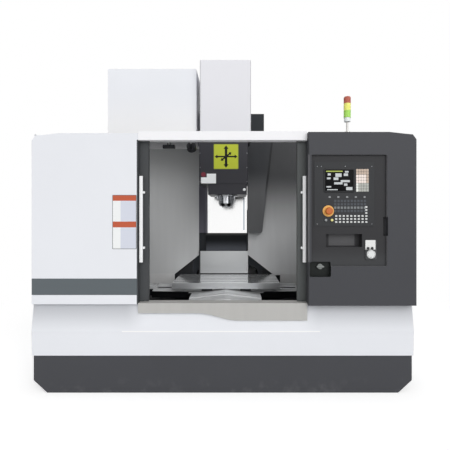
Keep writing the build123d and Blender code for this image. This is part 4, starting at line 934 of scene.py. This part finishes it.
keypad = bmesh.new()
key_caps(keypad, (1.112, 1.218), (1.703, 1.893), 5, 8, gap=0.0018, thick=0.0025, pick=keypad_finish)
finish_piece("keypad_caps", keypad, "frame", "button_grey", key_plastic("key_peach", 204, 184, 168),
             key_plastic("key_pink", 252, 238, 230), key_plastic("key_white", 244, 246, 240),
             key_plastic("key_grey", 186, 187, 181))
membrane = bmesh.new()
key_caps(membrane, (0.925, 1.200), (1.528, 1.640), 10, 4, gap=0.008, thick=0.0015,
         pick=lambda column, row: row == 2)
finish_piece("membrane_caps", membrane, "frame", "panel_plastic", key_plastic("key_dark", 74, 78, 84),
             key_plastic("key_mid", 124, 128, 130))

screen_x, screen_z, screen_radius = (0.856, 1.089), (1.709, 1.885), 0.003
bezel = bmesh.new()
rings = []
for grow, proud in ((0.014, 0.0), (0.014, 0.003), (0.012, 0.0042), (0.002, 0.0042), (0.0, 0.0)):
    x, z = ((low - grow, high + grow) for low, high in (screen_x, screen_z))
    rings.append(rounded(x, z, panel_front - proud, screen_radius + grow))
skin(bezel, rings, capped=False)
finish_piece("screen_bezel", bezel, "frame", "panel_plastic", key_plastic("bezel_plastic", 36, 37, 39))

upper_row, lower_row = 1.914, 1.434
screw_places = [(x, panel_front, upper_row) for x in (0.789, 0.823, 1.022, 1.244)]
screw_places += [(x, panel_front, lower_row) for x in (0.789, 1.244)]
socket_screws("panel_screws", "frame", screw_places, forward, 0.0045)


# Buttons, knobs and the hand dial: moulded caps, each on a shaft through the panel.
# The dial has fifty printed marks round its face, every fifth one longer.
def moulded(name, colour, rough=0.38):
    cap = Finish(name, colour, specular_ior_level=0.45)
    cap.rough = cap.noise(60.0, 3.0) * 0.12 + (rough - 0.06)
    # The corners are painted lighter, as a painted highlight.
    cap.paint(cap.edges(0.0012) * 0.25, shade(colour, 1.3, 0.01))
    cap.relief(cap.noise(700.0), depth=0.00002, rim=0.001)
    return cap


dress(moulded("stop_cap", srgb(198, 104, 40), 0.3).done(), "e_stop_button")
dress(moulded("start_cap", srgb(150, 152, 154)).done(), "cycle_start_button")
dress(moulded("hold_cap", srgb(232, 226, 150)).done(), "feed_hold_button")
dress(moulded("dial_cap", srgb(232, 234, 234)).done(), "handwheel_dial")
dress(moulded("knob_cap", srgb(34, 35, 37)).done(), "axis_knob", "rate_knob")
dress(moulded("mode_cap", srgb(134, 138, 136)).done(), "mode_knob")
field_top, plate_right = 1.222, 1.273
unit = moulded("unit_plate", srgb(236, 237, 236))
unit.paint(unit.z < field_top, srgb(60, 61, 63))
unit.paint(unit.x > plate_right, srgb(74, 75, 79))
dress(unit.done(), "handwheel_unit")

dial_x, dial_z, dial_front, marks = 1.235, 1.183, -1.2173, 50
mark_near, long_near, mark_far, mark_half = 0.0285, 0.026, 0.0325, 0.0005
dial_marks = bmesh.new()
for mark in range(marks):
    angle = 2 * math.pi * mark / marks
    right, up = math.sin(angle), math.cos(angle)
    near = mark_near if mark % 5 else long_near
    corners = ((near, -mark_half), (mark_far, -mark_half), (mark_far, mark_half), (near, mark_half))
    outline = [(dial_x + reach * right + offset * up, dial_z + reach * up - offset * right)
               for reach, offset in corners]
    skin(dial_marks, [[(x, dial_front - y, z) for x, z in outline] for y in (-0.0002, 0.0003)])
finish_piece("dial_marks", dial_marks, "dial", "knob_black", ink)


# Signal tower: a plated pole and a white collar with three stacked lenses, red over yellow over green.
# The lenses are tinted plastic with fine upright ribs.
collar_low, yellow_low, red_low = 2.2925, 2.3862, 2.4452
tower_x, tower_y, rib_count = 1.048, -1.175, 24.0
tower = Finish("tower_grey", srgb(200, 198, 195), 0.3, metal=0.6)
tower.paint(tower.z > collar_low, srgb(240, 245, 246), rough=0.4, metal=0.0)
tower.relief(tower.noise(500.0), depth=0.00002, rim=0.001)
dress(tower.done(), "signal_tower_base")
lenses = Finish("tinted_lens", srgb(176, 236, 98), 0.25, specular_ior_level=0.5)
lenses.paint(lenses.z > yellow_low, srgb(255, 255, 128))
lenses.paint(lenses.z > red_low, srgb(190, 92, 70))
around = (lenses.y - tower_y).maths("ARCTAN2", lenses.x - tower_x)
lenses.relief((around * rib_count).maths("SINE"), depth=0.0006, rim=0.001)
dress(lenses.done(), "signal_lenses")


# Electrical cabinet: a welded steel box behind the column, with a hinged door and drives inside.
# Box and door have the same pale baked coat, and the drives on the back plate are dark.
cabinet_grey = srgb(228, 230, 233)
drives_half, drives_y, drives_z = 0.515, (0.9435, 1.1), (0.334, 2.246)
dress(powder_coat("cabinet_white", cabinet_grey, 0.45).done(), "cabinet_door")
cabinet = powder_coat("cabinet_shell", cabinet_grey, 0.45)
drives = cabinet.across(0, drives_half) * cabinet.inside(y=drives_y, z=drives_z)
cabinet.paint(drives, srgb(66, 68, 72), rough=0.5)
dress(cabinet.done(), "electrical_cabinet")
